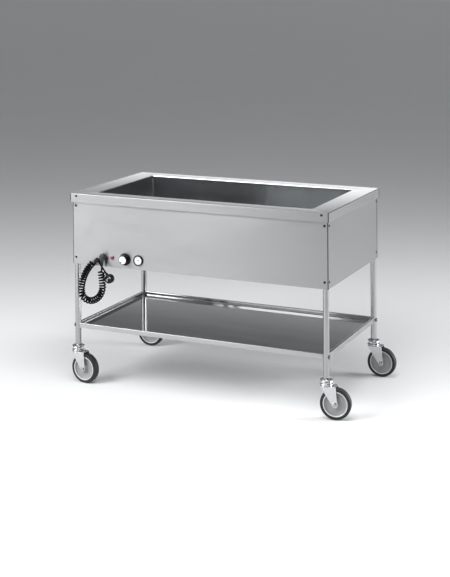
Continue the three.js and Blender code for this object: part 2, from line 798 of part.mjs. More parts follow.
// The origin goes on the floor, under the centre of the box round everything but the cord.
function centreOnFloor() {
  const loose = ["cord_lead", "cord_coil", "cord_tail", "mains_plug", "plug_pin_1", "plug_pin_2"];
  const box = new THREE.Box3();
  trolley.updateMatrixWorld(true);
  trolley.traverse((part) => {
    if (part.isMesh && !loose.includes(part.name)) box.expandByObject(part, true);
  });
  const middle = box.getCenter(new THREE.Vector3());
  trolley.position.set(-middle.x, -middle.y, -box.min.z);
}
centreOnFloor();

export default trolley;
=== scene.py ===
"""Steam table trolley: its looks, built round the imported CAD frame. Metres, +Z up.

Places come from the frame where a CAD node has them. The rest are in millimetres from the middle
of the rim and the floor, as at() takes them, which are the part's own numbers.
"""
import math

import bmesh
import bpy
from mathutils import Matrix, Vector


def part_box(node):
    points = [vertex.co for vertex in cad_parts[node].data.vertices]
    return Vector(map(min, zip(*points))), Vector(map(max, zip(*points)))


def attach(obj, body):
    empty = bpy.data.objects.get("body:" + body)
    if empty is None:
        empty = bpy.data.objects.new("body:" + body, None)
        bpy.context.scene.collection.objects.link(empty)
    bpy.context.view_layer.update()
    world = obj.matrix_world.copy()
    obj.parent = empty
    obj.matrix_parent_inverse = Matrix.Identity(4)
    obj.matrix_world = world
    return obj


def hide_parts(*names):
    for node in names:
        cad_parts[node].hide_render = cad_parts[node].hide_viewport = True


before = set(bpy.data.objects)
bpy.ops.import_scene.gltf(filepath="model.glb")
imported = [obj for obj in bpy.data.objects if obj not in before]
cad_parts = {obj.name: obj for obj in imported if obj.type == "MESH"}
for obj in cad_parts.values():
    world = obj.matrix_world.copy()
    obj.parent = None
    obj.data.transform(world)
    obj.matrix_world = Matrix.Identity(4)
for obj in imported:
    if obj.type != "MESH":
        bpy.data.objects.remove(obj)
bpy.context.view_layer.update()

MM = 0.001
RIM_LOW, RIM_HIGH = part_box("top_rim")
MIDDLE = (RIM_LOW + RIM_HIGH) / 2
FULL_TURN = 2 * math.pi
UP = Vector((0, 0, 1))
FRONT = Vector((0, -1, 0))


def at(x, y, z):
    """A point in metres, from millimetres along, across and above the floor."""
    return Vector((MIDDLE.x + x * MM, MIDDLE.y + y * MM, z * MM))


# ---------- driving dimensions, in millimetres, as in the CAD source ----------
RIM = {"half_x": 590, "half_y": 325, "top": 816, "low": 778, "sheet": 1.5, "bend": 2.4, "corner": 3}
WELL = {"x0": -491, "x1": 499, "y0": -264, "y1": 248, "corner": 4, "floor": 612, "lip": 22, "fillet": 9}
PANEL = {"half_x": 583.5, "half_y": 314, "low": 512}
LEG = {"x": 569.5, "y": 300, "radius": 12.5, "wall": 1.5, "low": 162, "top": 812}
SHELF = {"top": 254, "skirt": 20, "lip": 12, "sunk": 16, "sheet": 1.5, "over_leg": 8}
WHEEL = {"radius": 62.5, "width": 32, "trail": 37, "rim": 50, "lip_highlight_from": 45}
FORK = {
    "plate": 2.5, "side_gap": 3, "low": 130, "high": 133,
    "crown": 27, "back": 19, "reach": 41, "eye": 11.5,
}
CORD = {"radius": 3.5, "coil": 15.3, "stand_off": 18}
PLUG = {"x": -384, "z": 471, "stand_off": 34, "radius": 19, "thick": 28, "pin": 2.4, "pin_gap": 9.5}
RELIEF = {"x": -432, "top": 556, "low": 516, "radius": 12, "nose": 6.2, "depth": 18}
KNOB = {"x": -328, "z": 551, "pointer": 232}
GAUGE = {"x": -264.5, "z": 551.5, "first": 172, "sweep": 240, "marks": 24, "numbers": 6, "degrees": 20}
LAMP = {"x": -390, "z": 552}
PEG = {"x": -450, "z": 538.5}
DRAIN = {"x": 400, "y": 200, "hole": 11, "pipe_low": 479.4, "axis": 460.5}
# Painted shade strips at the upright corners: their width on the front, their width on the side, and how far
# they stand proud.
CORNER_SHADE = {"front": 2.0, "side": 5.0, "proud": 0.2}
BEAD = {"radius": 1.7, "inset": 0.4, "steps": 8}
SCREW = {
    "rim_x": 561, "under_top": 10, "high": 762, "low": 540,
    "under_x": (-520, -180, 180, 520), "under_y": (-265, 265),
}
WOOL = {"inset": 1.0, "wave": 0.9, "edge": 1.2}
# Each corner: its side along X, its side along Y, and its caster's heading at rest in degrees.
CORNERS = {
    "front_left": (-1, -1, -5),
    "front_right": (1, -1, 8),
    "rear_left": (-1, 1, 4),
    "rear_right": (1, 1, 1),
}


# ---------- camera ----------
CAMERA = {
    "place": (2298.4, -5012.0, 1740.1), "yaw": 25.398, "pitch": 0.215, "roll": -0.348,
    "lens": 79.07, "right": 0.01357, "drop": 0.24094,
}


def make_camera():
    """A level camera that looks down with a falling front, so that upright edges stay parallel.

    The picture's own axes stay level and upright while the line of sight drops, so the camera's matrix
    has a slope in it, which only a parent's transform can hold. The lens is lengthened to match.
    """
    yaw, pitch, roll = (math.radians(CAMERA[name]) for name in ("yaw", "pitch", "roll"))
    forward = Vector((
        -math.sin(yaw) * math.cos(pitch), math.cos(yaw) * math.cos(pitch), -math.sin(pitch),
    ))
    level = Vector((math.cos(yaw), math.sin(yaw), 0))
    upright = level.cross(forward)
    right = math.cos(roll) * level + math.sin(roll) * upright
    up = -math.sin(roll) * level + math.cos(roll) * upright
    sight = forward + right * CAMERA["right"] - up * CAMERA["drop"]
    data = bpy.data.cameras.new("camera")
    data.sensor_width = 36
    data.lens = CAMERA["lens"] * sight.length
    camera = bpy.data.objects.new("camera", data)
    stand = bpy.data.objects.new("camera_stand", None)
    for made in (camera, stand):
        bpy.context.scene.collection.objects.link(made)
    turn = Matrix((right, up, -sight.normalized())).transposed().to_4x4()
    camera.parent = stand
    camera.matrix_parent_inverse = Matrix.Translation(at(*CAMERA["place"])) @ turn
    bpy.context.scene.camera = camera


# ---------- materials ----------
def new_material(name):
    made = bpy.data.materials.new(name)
    made.use_nodes = True
    return made, made.node_tree.nodes, made.node_tree.links, made.node_tree.nodes["Principled BSDF"]


def stretched_noise(nodes, links, source, scale, detail=3.0):
    """Noise over "Object" or "UV" coordinates, its cells stretched by a scale along each axis."""
    place = nodes.new("ShaderNodeTexCoord" if source == "Object" else "ShaderNodeUVMap")
    mapping = nodes.new("ShaderNodeMapping")
    mapping.inputs["Scale"].default_value = scale
    noise = nodes.new("ShaderNodeTexNoise")
    noise.inputs["Scale"].default_value = 1.0
    noise.inputs["Detail"].default_value = detail
    links.new(place.outputs[source], mapping.inputs["Vector"])
    links.new(mapping.outputs["Vector"], noise.inputs["Vector"])
    return noise.outputs["Fac"]


def map_range(nodes, links, value, low, high, from_low=0.3, from_high=0.7):
    ranged = nodes.new("ShaderNodeMapRange")
    ranged.inputs["From Min"].default_value = from_low
    ranged.inputs["From Max"].default_value = from_high
    ranged.inputs["To Min"].default_value = low
    ranged.inputs["To Max"].default_value = high
    links.new(value, ranged.inputs["Value"])
    return ranged.outputs["Result"]


def math_node(nodes, links, operation, *values):
    """A maths node, each value being a socket or a plain number."""
    made = nodes.new("ShaderNodeMath")
    made.operation = operation
    for socket, value in zip(made.inputs, values):
        if isinstance(value, (int, float)):
            socket.default_value = value
        else:
            links.new(value, socket)
    return made.outputs[0]


def mix_colours(nodes, links, factor, dark, light):
    ramp = nodes.new("ShaderNodeValToRGB")
    ramp.color_ramp.elements[0].color = (*dark, 1)
    ramp.color_ramp.elements[1].color = (*light, 1)
    links.new(factor, ramp.inputs["Fac"])
    return ramp.outputs["Color"]


def add_bump(nodes, links, shader, height, strength, distance):
    bump = nodes.new("ShaderNodeBump")
    bump.inputs["Strength"].default_value = strength
    bump.inputs["Distance"].default_value = distance
    links.new(height, bump.inputs["Height"])
    links.new(bump.outputs["Normal"], shader.inputs["Normal"])


def brushed_steel(name, grey, roughness, spread, anisotropy, bump=0.25):
    """Sheet steel with its grain along each face's own length, which the UV map holds in metres."""
    made, nodes, links, shader = new_material(name)
    shader.inputs["Metallic"].default_value = 1
    fine = stretched_noise(nodes, links, "UV", (6, 2600, 1), 4)
    cloud = stretched_noise(nodes, links, "UV", (3, 14, 1), 3)
    streaks = stretched_noise(nodes, links, "UV", (1.5, 420, 1), 2)
    tone = map_range(nodes, links, streaks, 0.35, 0.65)
    dark = tuple(channel * 0.93 for channel in grey)
    links.new(mix_colours(nodes, links, tone, dark, grey), shader.inputs["Base Color"])
    smudged = map_range(nodes, links, cloud, roughness - spread, roughness + spread)
    lined = map_range(nodes, links, fine, -spread, spread)
    links.new(math_node(nodes, links, "ADD", smudged, lined), shader.inputs["Roughness"])
    # The highlight spreads across the grain, so the rough direction is turned a quarter from it.
    shader.inputs["Anisotropic"].default_value = anisotropy
    shader.inputs["Anisotropic Rotation"].default_value = 0.25
    tangent = nodes.new("ShaderNodeTangent")
    tangent.direction_type = "UV_MAP"
    links.new(tangent.outputs["Tangent"], shader.inputs["Tangent"])
    add_bump(nodes, links, shader, fine, bump, 0.00002)
    return made


def round_metal(name, colour, roughness, spread, stretch, bump=0.1):
    """Turned, drawn or plated metal, with its faint marks stretched by the scale along each axis."""
    made, nodes, links, shader = new_material(name)
    shader.inputs["Metallic"].default_value = 1
    marks = stretched_noise(nodes, links, "Object", stretch, 4)
    patches = stretched_noise(nodes, links, "Object", (35, 35, 35), 3)
    dark = tuple(channel * 0.9 for channel in colour)
    links.new(mix_colours(nodes, links, patches, dark, colour), shader.inputs["Base Color"])
    rough = map_range(nodes, links, marks, roughness - spread, roughness + spread)
    links.new(rough, shader.inputs["Roughness"])
    add_bump(nodes, links, shader, marks, bump, 0.00005)
    return made


def moulded(
    name, colour, roughness, grain=900, bump=0.25, depth=0.00012, variation=0.8, coat=0.0, shine=0.5,
):
    """Moulded plastic or rubber with a fine grain and slightly uneven colour."""
    made, nodes, links, shader = new_material(name)
    grain_noise = stretched_noise(nodes, links, "Object", (grain, grain, grain), 2)
    cloud = stretched_noise(nodes, links, "Object", (28, 28, 28), 4)
    dark = tuple(channel * variation for channel in colour)
    links.new(mix_colours(nodes, links, cloud, dark, colour), shader.inputs["Base Color"])
    rough = map_range(nodes, links, cloud, roughness - 0.05, roughness + 0.07)
    links.new(rough, shader.inputs["Roughness"])
    shader.inputs["Specular IOR Level"].default_value = shine
    shader.inputs["Coat Weight"].default_value = coat
    shader.inputs["Coat Roughness"].default_value = 0.15
    add_bump(nodes, links, shader, grain_noise, bump, depth)
    return made


def lens_red():
    made, nodes, links, shader = new_material("lens_red")
    facets = nodes.new("ShaderNodeTexVoronoi")
    facets.inputs["Scale"].default_value = 420
    place = nodes.new("ShaderNodeTexCoord")
    links.new(place.outputs["Object"], facets.inputs["Vector"])
    dark, light = (0.14, 0.003, 0.006), (0.32, 0.010, 0.018)
    colour = mix_colours(nodes, links, facets.outputs["Distance"], dark, light)
    links.new(colour, shader.inputs["Base Color"])
    shader.inputs["Roughness"].default_value = 0.12
    shader.inputs["Transmission Weight"].default_value = 0.25
    shader.inputs["Coat Weight"].default_value = 0.6
    add_bump(nodes, links, shader, facets.outputs["Distance"], 0.3, 0.0004)
    return made


def clear_glass():
    """A thin clear pane: mostly see-through, with a faint reflection."""
    made, nodes, links, shader = new_material("clear_glass")
    film = stretched_noise(nodes, links, "Object", (160, 160, 160), 3)
    links.new(map_range(nodes, links, film, 0.02, 0.07), shader.inputs["Roughness"])
    shader.inputs["Base Color"].default_value = (0.95, 0.97, 0.97, 1)
    shader.inputs["Alpha"].default_value = 0.1
    return made


def wool_board():
    made, nodes, links, shader = new_material("wool_board")
    fibres = stretched_noise(nodes, links, "Object", (260, 260, 60), 6)
    colour = mix_colours(nodes, links, fibres, (0.42, 0.36, 0.2), (0.72, 0.66, 0.46))
    links.new(colour, shader.inputs["Base Color"])
    shader.inputs["Roughness"].default_value = 0.95
    shader.inputs["Sheen Weight"].default_value = 0.3
    add_bump(nodes, links, shader, fibres, 0.8, 0.002)
    return made


def pale_floor():
    made, nodes, links, shader = new_material("pale_floor")
    cloud = stretched_noise(nodes, links, "Object", (0.8, 0.8, 0.8), 3)
    colour = mix_colours(nodes, links, cloud, (0.80, 0.805, 0.81), (0.83, 0.835, 0.84))
    links.new(colour, shader.inputs["Base Color"])
    shader.inputs["Roughness"].default_value = 0.6
    shader.inputs["Specular IOR Level"].default_value = 0.2
    return made


MATERIALS = {
    "panel": brushed_steel("panel_steel", (0.36, 0.365, 0.37), 0.32, 0.02, 0.88),
    "rim": brushed_steel("rim_steel", (0.50, 0.51, 0.515), 0.09, 0.01, 0.6),
    "well": brushed_steel("well_steel", (0.62, 0.635, 0.64), 0.13, 0.02, 0.4, 0.15),
    # A lighter grey copy of the skirt steel for the rim's ends: painted light.
    "rim_end_lit": brushed_steel("rim_end_steel", (0.49, 0.495, 0.50), 0.30, 0.02, 0.8),
    "skirt": brushed_steel("skirt_steel", (0.42, 0.425, 0.43), 0.30, 0.02, 0.8),
    # Near-black steel for the bend at each end of the rim: painted shade along that edge.
    "fold": brushed_steel("fold_painted_shade_steel", (0.035, 0.036, 0.037), 0.35, 0.02, 0.5),
    "deck": brushed_steel("deck_steel", (0.60, 0.615, 0.62), 0.08, 0.015, 0.3, 0.08),
    "tube": round_metal("tube_steel", (0.39, 0.395, 0.40), 0.25, 0.03, (900, 900, 8)),
    "zinc": round_metal("bright_zinc", (0.60, 0.61, 0.62), 0.20, 0.05, (240, 240, 240), 0.12),
    "bright": round_metal("bright_steel", (0.70, 0.71, 0.72), 0.14, 0.03, (500, 500, 500)),
    "screw": round_metal("black_screw", (0.015, 0.015, 0.016), 0.35, 0.05, (700, 700, 700)),
    "brass": round_metal("nickel_brass", (0.66, 0.58, 0.40), 0.22, 0.05, (300, 300, 300)),
    "cap": round_metal("knob_face", (0.90, 0.90, 0.90), 0.36, 0.04, (900, 900, 900), 0.05),
    "black": moulded("black_plastic", (0.006, 0.006, 0.007), 0.32, 1200, 0.2, 0.0001, 0.7, shine=0.2),
    "cord": moulded("cord_sheath", (0.004, 0.004, 0.005), 0.46, 1500, 0.2, 0.00008, 0.7, shine=0.08),
    "relief": moulded("gland_plastic", (0.045, 0.047, 0.05), 0.42, 1200, 0.3, 0.0001, 0.7),
    "tyre": moulded("tyre_rubber", (0.018, 0.020, 0.021), 0.5, 700, 0.5, 0.0002, 0.75, shine=0.35),
    "wheel": moulded("wheel_plastic", (0.30, 0.31, 0.31), 0.42, 600, 0.25, 0.0001, 0.9, 0.05),
    # A light grey copy of the wheel plastic for the raised lip: painted highlight.
    "lip": moulded("wheel_lip_painted_highlight", (0.78, 0.79, 0.79), 0.35, 600, 0.2, 0.0001, 0.92),
    "dial": moulded("dial_print", (0.86, 0.86, 0.84), 0.5, 500, 0.05, 0.00005, 0.97),
    "mark": moulded("dial_marks", (0.02, 0.02, 0.022), 0.5, 500, 0.05, 0.00005, 0.9),
    "red_grip": moulded("red_grip", (0.42, 0.02, 0.02), 0.4, 700, 0.3, 0.0001, 0.85, 0.2),
    "lens": lens_red(),
    "glass": clear_glass(),
    "wool": wool_board(),
    "floor": pale_floor(),
}


# ---------- mesh helpers ----------
def grain_uv(mesh):
    """A UV map in metres, with U along each face's longest edge, for the grain to follow."""
    layer = mesh.uv_layers.new(name="grain")
    for face in mesh.polygons:
        corners = [mesh.vertices[index].co for index in face.vertices]
        edges = [corners[k] - corners[k - 1] for k in range(len(corners))]
        along = max(edges, key=lambda edge: edge.length).normalized()
        across = face.normal.cross(along)
        for loop in face.loop_indices:
            point = mesh.vertices[mesh.loops[loop].vertex_index].co
            layer.data[loop].uv = (point.dot(along), point.dot(across))


def make_piece(name, mesh_data, material, body="trolley", replaces=(), bevel=0.0):
    """A piece from a bmesh: smooth shaded, its edges softened by the bevel width in millimetres."""
    bmesh.ops.recalc_face_normals(mesh_data, faces=mesh_data.faces)
    mesh = bpy.data.meshes.new(name)
    mesh_data.to_mesh(mesh)
    mesh_data.free()
    grain_uv(mesh)
    for face in mesh.polygons:
        face.use_smooth = True
    mesh.materials.append(MATERIALS[material])
    piece = bpy.data.objects.new(name, mesh)
    bpy.context.scene.collection.objects.link(piece)
    if bevel:
        softened = piece.modifiers.new("soft_edges", "BEVEL")
        softened.width = bevel * MM
        softened.segments = 2
        softened.limit_method = "ANGLE"
        softened.angle_limit = math.radians(28)
        softened.use_clamp_overlap = True
    weighted = piece.modifiers.new("flat_faces", "WEIGHTED_NORMAL")
    weighted.keep_sharp = True
    if not bevel:
        mesh.set_sharp_from_angle(angle=math.radians(32))
    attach(piece, body)
    if replaces:
        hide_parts(*replaces)
    return piece


def level_ring(x0, x1, y0, y1, radius, z, steps=6):
    """One level loop of a rounded rectangle, anticlockwise from above."""
    centres = (
        (x1 - radius, y0 + radius, -90), (x1 - radius, y1 - radius, 0),
        (x0 + radius, y1 - radius, 90), (x0 + radius, y0 + radius, 180),
    )
    ring = []
    for cx, cy, start in centres:
        for step in range(steps + 1):
            angle = math.radians(start + 90 * step / steps)
            ring.append(at(cx + radius * math.cos(angle), cy + radius * math.sin(angle), z))
    return ring


def loft(rings, closed=False):
    """Quads between rings of the same count; closed joins the last to the first, else both are capped."""
    made = bmesh.new()
    loops = [[made.verts.new(point) for point in ring] for ring in rings]
    pairs = list(zip(loops, loops[1:]))
    if closed:
        pairs.append((loops[-1], loops[0]))
    for low, high in pairs:
        for k in range(len(low)):
            made.faces.new((low[k - 1], low[k], high[k], high[k - 1]))
    if not closed:
        made.faces.new(reversed(loops[0]))
        made.faces.new(loops[-1])
    return made


def bend(count):
    """For each step of a quarter-round bend, how far it has come over and how far it has left to rise."""
    angles = [math.radians(90 * step / (count - 1)) for step in range(count)]
    return [(1 - math.cos(angle), 1 - math.sin(angle)) for angle in angles]


def basis(direction):
    """Two directions at right angles to this one and to each other."""
    along = Vector(direction).normalized()
    helper = Vector((0, 0, 1)) if abs(along.z) < 0.9 else Vector((1, 0, 0))
    side = along.cross(helper).normalized()
    return along, side, along.cross(side)


def turned(outline, origin, direction, sides=64, into=None):
    """A turned solid from [radius, height] pairs in millimetres, along a direction from an origin."""
    along, side, other = basis(direction)
    made = into or bmesh.new()
    loops = []
    for radius, height in outline:
        centre = origin + along * (height * MM)
        if radius <= 0:
            loops.append([made.verts.new(centre)])
            continue
        ring = []
        for k in range(sides):
            angle = FULL_TURN * k / sides
            spoke = side * math.cos(angle) + other * math.sin(angle)
            ring.append(made.verts.new(centre + spoke * (radius * MM)))
        loops.append(ring)
    if len(loops[0]) > 1 or len(loops[-1]) > 1:
        loops.append(loops[0])
    for low, high in zip(loops, loops[1:]):
        for k in range(sides):
            corners = [
                low[k % len(low)], low[(k - 1) % len(low)], high[(k - 1) % len(high)], high[k % len(high)],
            ]
            corners = list(dict.fromkeys(corners))
            if len(corners) > 2:
                made.faces.new(corners)
    return made


def prism(outline, origin, x_way, y_way, thick, into=None):
    """A flat plate from an outline in millimetres, raised by thick along x_way cross y_way."""
    made = into or bmesh.new()
    rise = x_way.cross(y_way) * (thick * MM)
    low = [made.verts.new(origin + x_way * (x * MM) + y_way * (y * MM)) for x, y in outline]
    high = [made.verts.new(vert.co + rise) for vert in low]
    made.faces.new(low)
    made.faces.new(reversed(high))
    for k in range(len(low)):
        made.faces.new((low[k - 1], low[k], high[k], high[k - 1]))
    return made


def cad_copy(node):
    """The CAD node's own mesh with its flat faces whole, as a bmesh."""
    made = bmesh.new()
    made.from_mesh(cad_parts[node].data)
    bmesh.ops.remove_doubles(made, verts=made.verts, dist=0.00001)
    bmesh.ops.dissolve_limit(
        made, angle_limit=math.radians(1), use_dissolve_boundaries=False,
        verts=made.verts, edges=made.edges,
    )
    return made


def arc(cx, cy, radius, start, end, steps):
    """Points on an arc, in degrees, as an outline takes them."""
    points = []
    for step in range(steps + 1):
        angle = math.radians(start + (end - start) * step / steps)
        points.append((cx + radius * math.cos(angle), cy + radius * math.sin(angle)))
    return points


def smooth_line(points, steps):
    """A Catmull-Rom line through the points, with this many steps between each two."""
    ends = [2 * points[0] - points[1], *points, 2 * points[-1] - points[-2]]
    line = []
    for k in range(1, len(ends) - 2):
        a, b, c, d = ends[k - 1:k + 3]
        for step in range(steps):
            t = step / steps
            line.append(0.5 * (
                2 * b + (c - a) * t + (2 * a - 5 * b + 4 * c - d) * t**2 + (3 * b - a - 3 * c + d) * t**3
            ))
    line.append(points[-1])
    return line


# ---------- cord ----------
COIL_Y = -PANEL["half_y"] - CORD["stand_off"]
COIL_LINE = [
    (-436, 501), (-434.5, 481), (-431, 460), (-429, 437), (-431, 414), (-441, 392),
    (-459, 374), (-483, 364), (-506, 365.5), (-524, 377.5), (-532, 397.5), (-532.5, 419.5),
    (-527, 445.5), (-516, 473.5), (-500, 499.5), (-483, 519.5), (-466.5, 534),
]
LEAD_LINE = [(-432, 516), (-432.3, 512.5), (-433.6, 508), (-435, 504.5)]
TAIL_LINE = [
    (-463.1, 0, 537.1), (-459, -2.5, 543.3), (-453.5, -5.5, 547.8), (-449, -7.5, 549),
    (-444, -10, 546.6), (-440.5, -12, 541.5), (-434, -13.5, 530.5), (-425, -14, 518),
    (-413, -15, 504.5), (-401.6, -16, 491.3),
]
LEAD_ROUTE = [at(x, COIL_Y, z) for x, z in LEAD_LINE]
COIL_ROUTE = [at(x, COIL_Y, z) for x, z in COIL_LINE]
TAIL_ROUTE = [at(x, COIL_Y + y, z) for x, y, z in TAIL_LINE]
TURN = {
    "pitch": 11.6, "loose_pitch": 17.0, "loose_from": 0.86, "loosening": 1.5, "steps": 20,
    "ease": 24.0, "flare": 1.6, "late": 3, "longest_step": 1.0,
}
STRAIGHT_STEPS = 4


def coil_points():
    """The curly part: a helix of the sheath round the coil's hanging middle line.

    It starts in the lead and ends in the tail. At each end it flares outwards first and winds later, which
    eases the sheath into its turns. The bends there are still tighter than the coil's own.
    """
    middle = smooth_line([*LEAD_ROUTE[1:], *COIL_ROUTE, *TAIL_ROUTE[:2]], 24)
    lengths = [0.0]
    for a, b in zip(middle, middle[1:]):
        lengths.append(lengths[-1] + (b - a).length)
    total = lengths[-1]
    radius = (CORD["coil"] - CORD["radius"]) * MM
    points = []
    angle = 0.0
    travelled = 0.0
    k = 0
    while travelled < total:
        while k < len(lengths) - 2 and lengths[k + 1] < travelled:
            k += 1
        share = (travelled - lengths[k]) / (lengths[k + 1] - lengths[k])
        centre = middle[k].lerp(middle[k + 1], share)
        along = (middle[k + 1] - middle[k]).normalized()
        across = FRONT.cross(along)
        from_end = min(1.0, min(travelled, total - travelled) / (TURN["ease"] * MM))
        reach = radius * from_end**TURN["flare"]
        points.append(centre + (across * math.cos(angle) + FRONT * math.sin(angle)) * reach)
        loosened = max(0.0, (travelled / total - TURN["loose_from"]) / (1 - TURN["loose_from"]))
        opened = min(1.0, loosened * TURN["loosening"])
        pitch = TURN["pitch"] + (TURN["loose_pitch"] - TURN["pitch"]) * opened
        winding = FULL_TURN * from_end**TURN["late"] / pitch
        step = min(TURN["longest_step"], FULL_TURN / TURN["steps"] / max(winding, 0.001))
        travelled += step * MM
        angle += winding * step
    return points


def make_cord():
    # The helix runs from the lead's second place to the tail's second place.
    lead = smooth_line(LEAD_ROUTE, STRAIGHT_STEPS)[:STRAIGHT_STEPS]
    tail = smooth_line(TAIL_ROUTE, STRAIGHT_STEPS)[STRAIGHT_STEPS + 1:]
    points = [*lead, *coil_points(), *tail]
    length = sum((b - a).length for a, b in zip(points, points[1:]))
    data = bpy.data.curves.new("curly_cord", "CURVE")
    data.dimensions = "3D"
    data.bevel_depth = CORD["radius"] * MM
    data.bevel_resolution = 3
    data.use_fill_caps = True
    line = data.splines.new("POLY")
    line.points.add(len(points) - 1)
    for point, place in zip(line.points, points):
        point.co = (*place, 1)
    line.use_smooth = True
    data.materials.append(MATERIALS["cord"])
    piece = bpy.data.objects.new("curly_cord", data)
    bpy.context.scene.collection.objects.link(piece)
    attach(piece, "trolley")
    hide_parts("cord_lead", "cord_coil", "cord_tail")
    return piece, length


def make_plug():
    """A round angled plug: ribbed rim, recessed face with two sockets for the pins, ringed neck."""
    before, end = TAIL_ROUTE[-2:]
    along = (end - before).normalized()
    middle = at(PLUG["x"], -PANEL["half_y"] - PLUG["stand_off"], PLUG["z"])
    half = PLUG["thick"] / 2
    radius = PLUG["radius"]
    shell = [
        (0, -half), (radius - 8, -half), (radius - 4, -half + 1.2), (radius - 0.6, -half + 7),
        (radius, -6), (radius - 0.8, -5.2), (radius - 0.8, -3.8), (radius, -3), (radius, half - 3),
        (radius - 0.8, half - 0.8), (radius - 2.6, half), (radius - 4.2, half), (radius - 4.8, half - 2.4),
        (0, half - 2.4),
    ]
    body = turned(shell, middle, FRONT, 48)
    neck = []
    reach = (middle - end).length / MM
    for ridge in range(6):
        start = 0.3 + ridge * 3.1
        swell = 5.0 + ridge * 0.55
        neck += [
            (swell, start), (swell + 0.7, start + 0.5), (swell + 0.7, start + 1.7), (swell, start + 2.2),
        ]
    neck = [(0, 0.3), *neck, (9.6, 21), (10, reach), (0, reach)]
    turned(neck, end, along, 32, into=body)
    plug = make_piece("mains_plug_shell", body, "black", replaces=("mains_plug",), bevel=0.35)
    spread = Vector((-along.z, 0, along.x)).normalized() * (PLUG["pin_gap"] * MM)
    pins = []
    outline = [
        (0, half - 7), (2.35, half - 7), (2.35, half + 16.5),
        (2.1, half + 18), (1.3, half + 18.9), (0, half + 19),
    ]
    sleeve = [(PLUG["pin"], half - 2.5), (4.2, half - 2.5), (4.0, half - 0.9), (PLUG["pin"], half - 0.6)]
    for number, side in ((1, -1), (2, 1)):
        pin = turned(outline, middle + spread * side, FRONT, 24)
        turned(sleeve, middle + spread * side, FRONT, 24, into=pin)
        name = "plug_pin_%d" % number
        pins.append(make_piece(name + "_rod", pin, "bright", replaces=(name,)))
    return [plug, *pins]


# ---------- rim, well and casing ----------
def well_ring(outset, z):
    """A level loop round the well's wall, moved out by the outset."""
    return level_ring(
        WELL["x0"] - outset, WELL["x1"] + outset, WELL["y0"] - outset, WELL["y1"] + outset,
        max(WELL["corner"] + outset, 1.0), z,
    )


def make_rim():
    """The folded rim: skirt, bent top edge, flat top, and the edge turned down into the well."""
    half_x, half_y, sheet, fold = RIM["half_x"], RIM["half_y"], RIM["sheet"], RIM["bend"]
    top = RIM["top"]

    def outer(inset, z):
        radius = max(RIM["corner"] - inset, 0.6)
        return level_ring(-half_x + inset, half_x - inset, -half_y + inset, half_y - inset, radius, z)

    rings = [outer(sheet, RIM["low"]), outer(0, RIM["low"])]
    rings += [outer(fold * over, top - fold * left) for over, left in bend(6)]
    rings += [well_ring(sheet * left, top - sheet * over) for over, left in bend(4)]
    rings += [well_ring(sheet * 2, top - sheet), outer(sheet, top - sheet)]
    rim = make_piece("rim_sheet", loft(rings, closed=True), "rim", replaces=("top_rim",))
    # The rim's end skirts take a lighter grey copy of the steel: painted light on the brighter ends.
    finish_skirt(rim, "panel", "rim_end_lit", half_x, half_y)
    # The bend at each end of the rim's top takes the near-black steel: painted shade along that edge.
    rim.data.materials.append(MATERIALS["fold"])
    for face in rim.data.polygons:
        place = (face.center - at(0, 0, 0)) / MM
        if abs(place.x) > half_x - fold and place.z > top - fold:
            face.material_index = 3
    bead = []
    for step in range(BEAD["steps"]):
        angle = FULL_TURN * step / BEAD["steps"]
        outset = BEAD["radius"] * math.cos(angle) - BEAD["inset"]
        bead.append(well_ring(outset, top - sheet + BEAD["radius"] * math.sin(angle)))
    make_piece("rim_bead", loft(bead, closed=True), "bright")


def make_corner_seals():
    """Near-black strips on the front, rear and ends at the upright corners of the rim and the casing:
    painted shade for the dark line at each corner.
    """
    made = bmesh.new()
    front, side, proud = CORNER_SHADE["front"], CORNER_SHADE["side"], CORNER_SHADE["proud"]
    spans = (
        (RIM["half_x"], RIM["half_y"], RIM["low"] + 0.5, RIM["top"] - RIM["bend"]),
        (PANEL["half_x"], PANEL["half_y"], PANEL["low"] + 0.5, RIM["low"] - 0.5),
    )
    for half_x, half_y, low, high in spans:
        for side_x, side_y, _turn in CORNERS.values():
            outline = [(-front, proud), (0, proud), (proud, 0), (proud, -side), (-front, -side)]
            corner = at(side_x * half_x, side_y * half_y, low)
            rise = (high - low) * side_x * side_y
            prism(outline, corner, Vector((side_x, 0, 0)), Vector((0, side_y, 0)), rise, into=made)
    make_piece("corner_shade_strips", made, "cord")


def make_well():
    """The tub: flange under the rim, straight walls, a filleted floor, and the hole for the drain."""
    sheet, fillet, floor = RIM["sheet"], WELL["fillet"], WELL["floor"]
    edge = RIM["top"] - sheet - 0.3
    rings = [well_ring(-(fillet * left), floor + fillet * over) for over, left in bend(6)]
    rings += [well_ring(0, edge), well_ring(WELL["lip"], edge)]
    rings += [well_ring(WELL["lip"], edge - sheet), well_ring(sheet, edge - sheet)]
    rings += [well_ring(sheet - fillet * over, floor - sheet + fillet * left) for over, left in bend(6)]
    tub = make_piece("well_tub", loft(rings), "well", replaces=("well_tank",))
    outlet = at(DRAIN["x"], DRAIN["y"], floor)
    bore = [(0, -6), (DRAIN["hole"], -6), (DRAIN["hole"], 6), (0, 6)]
    cut_away(tub, turned(bore, outlet, UP, 32))
    strainer = [
        (0, 0.3), (19, 0.3), (21, 0.8), (21, 1.3), (18, 2.2), (13, 2.6),
        (12, 1.4), (6, 1.1), (5, 2.2), (0, 2.6),
    ]
    dome = turned(strainer, outlet, UP, 48)
    make_piece("drain_strainer", dome, "bright", bevel=0.2)


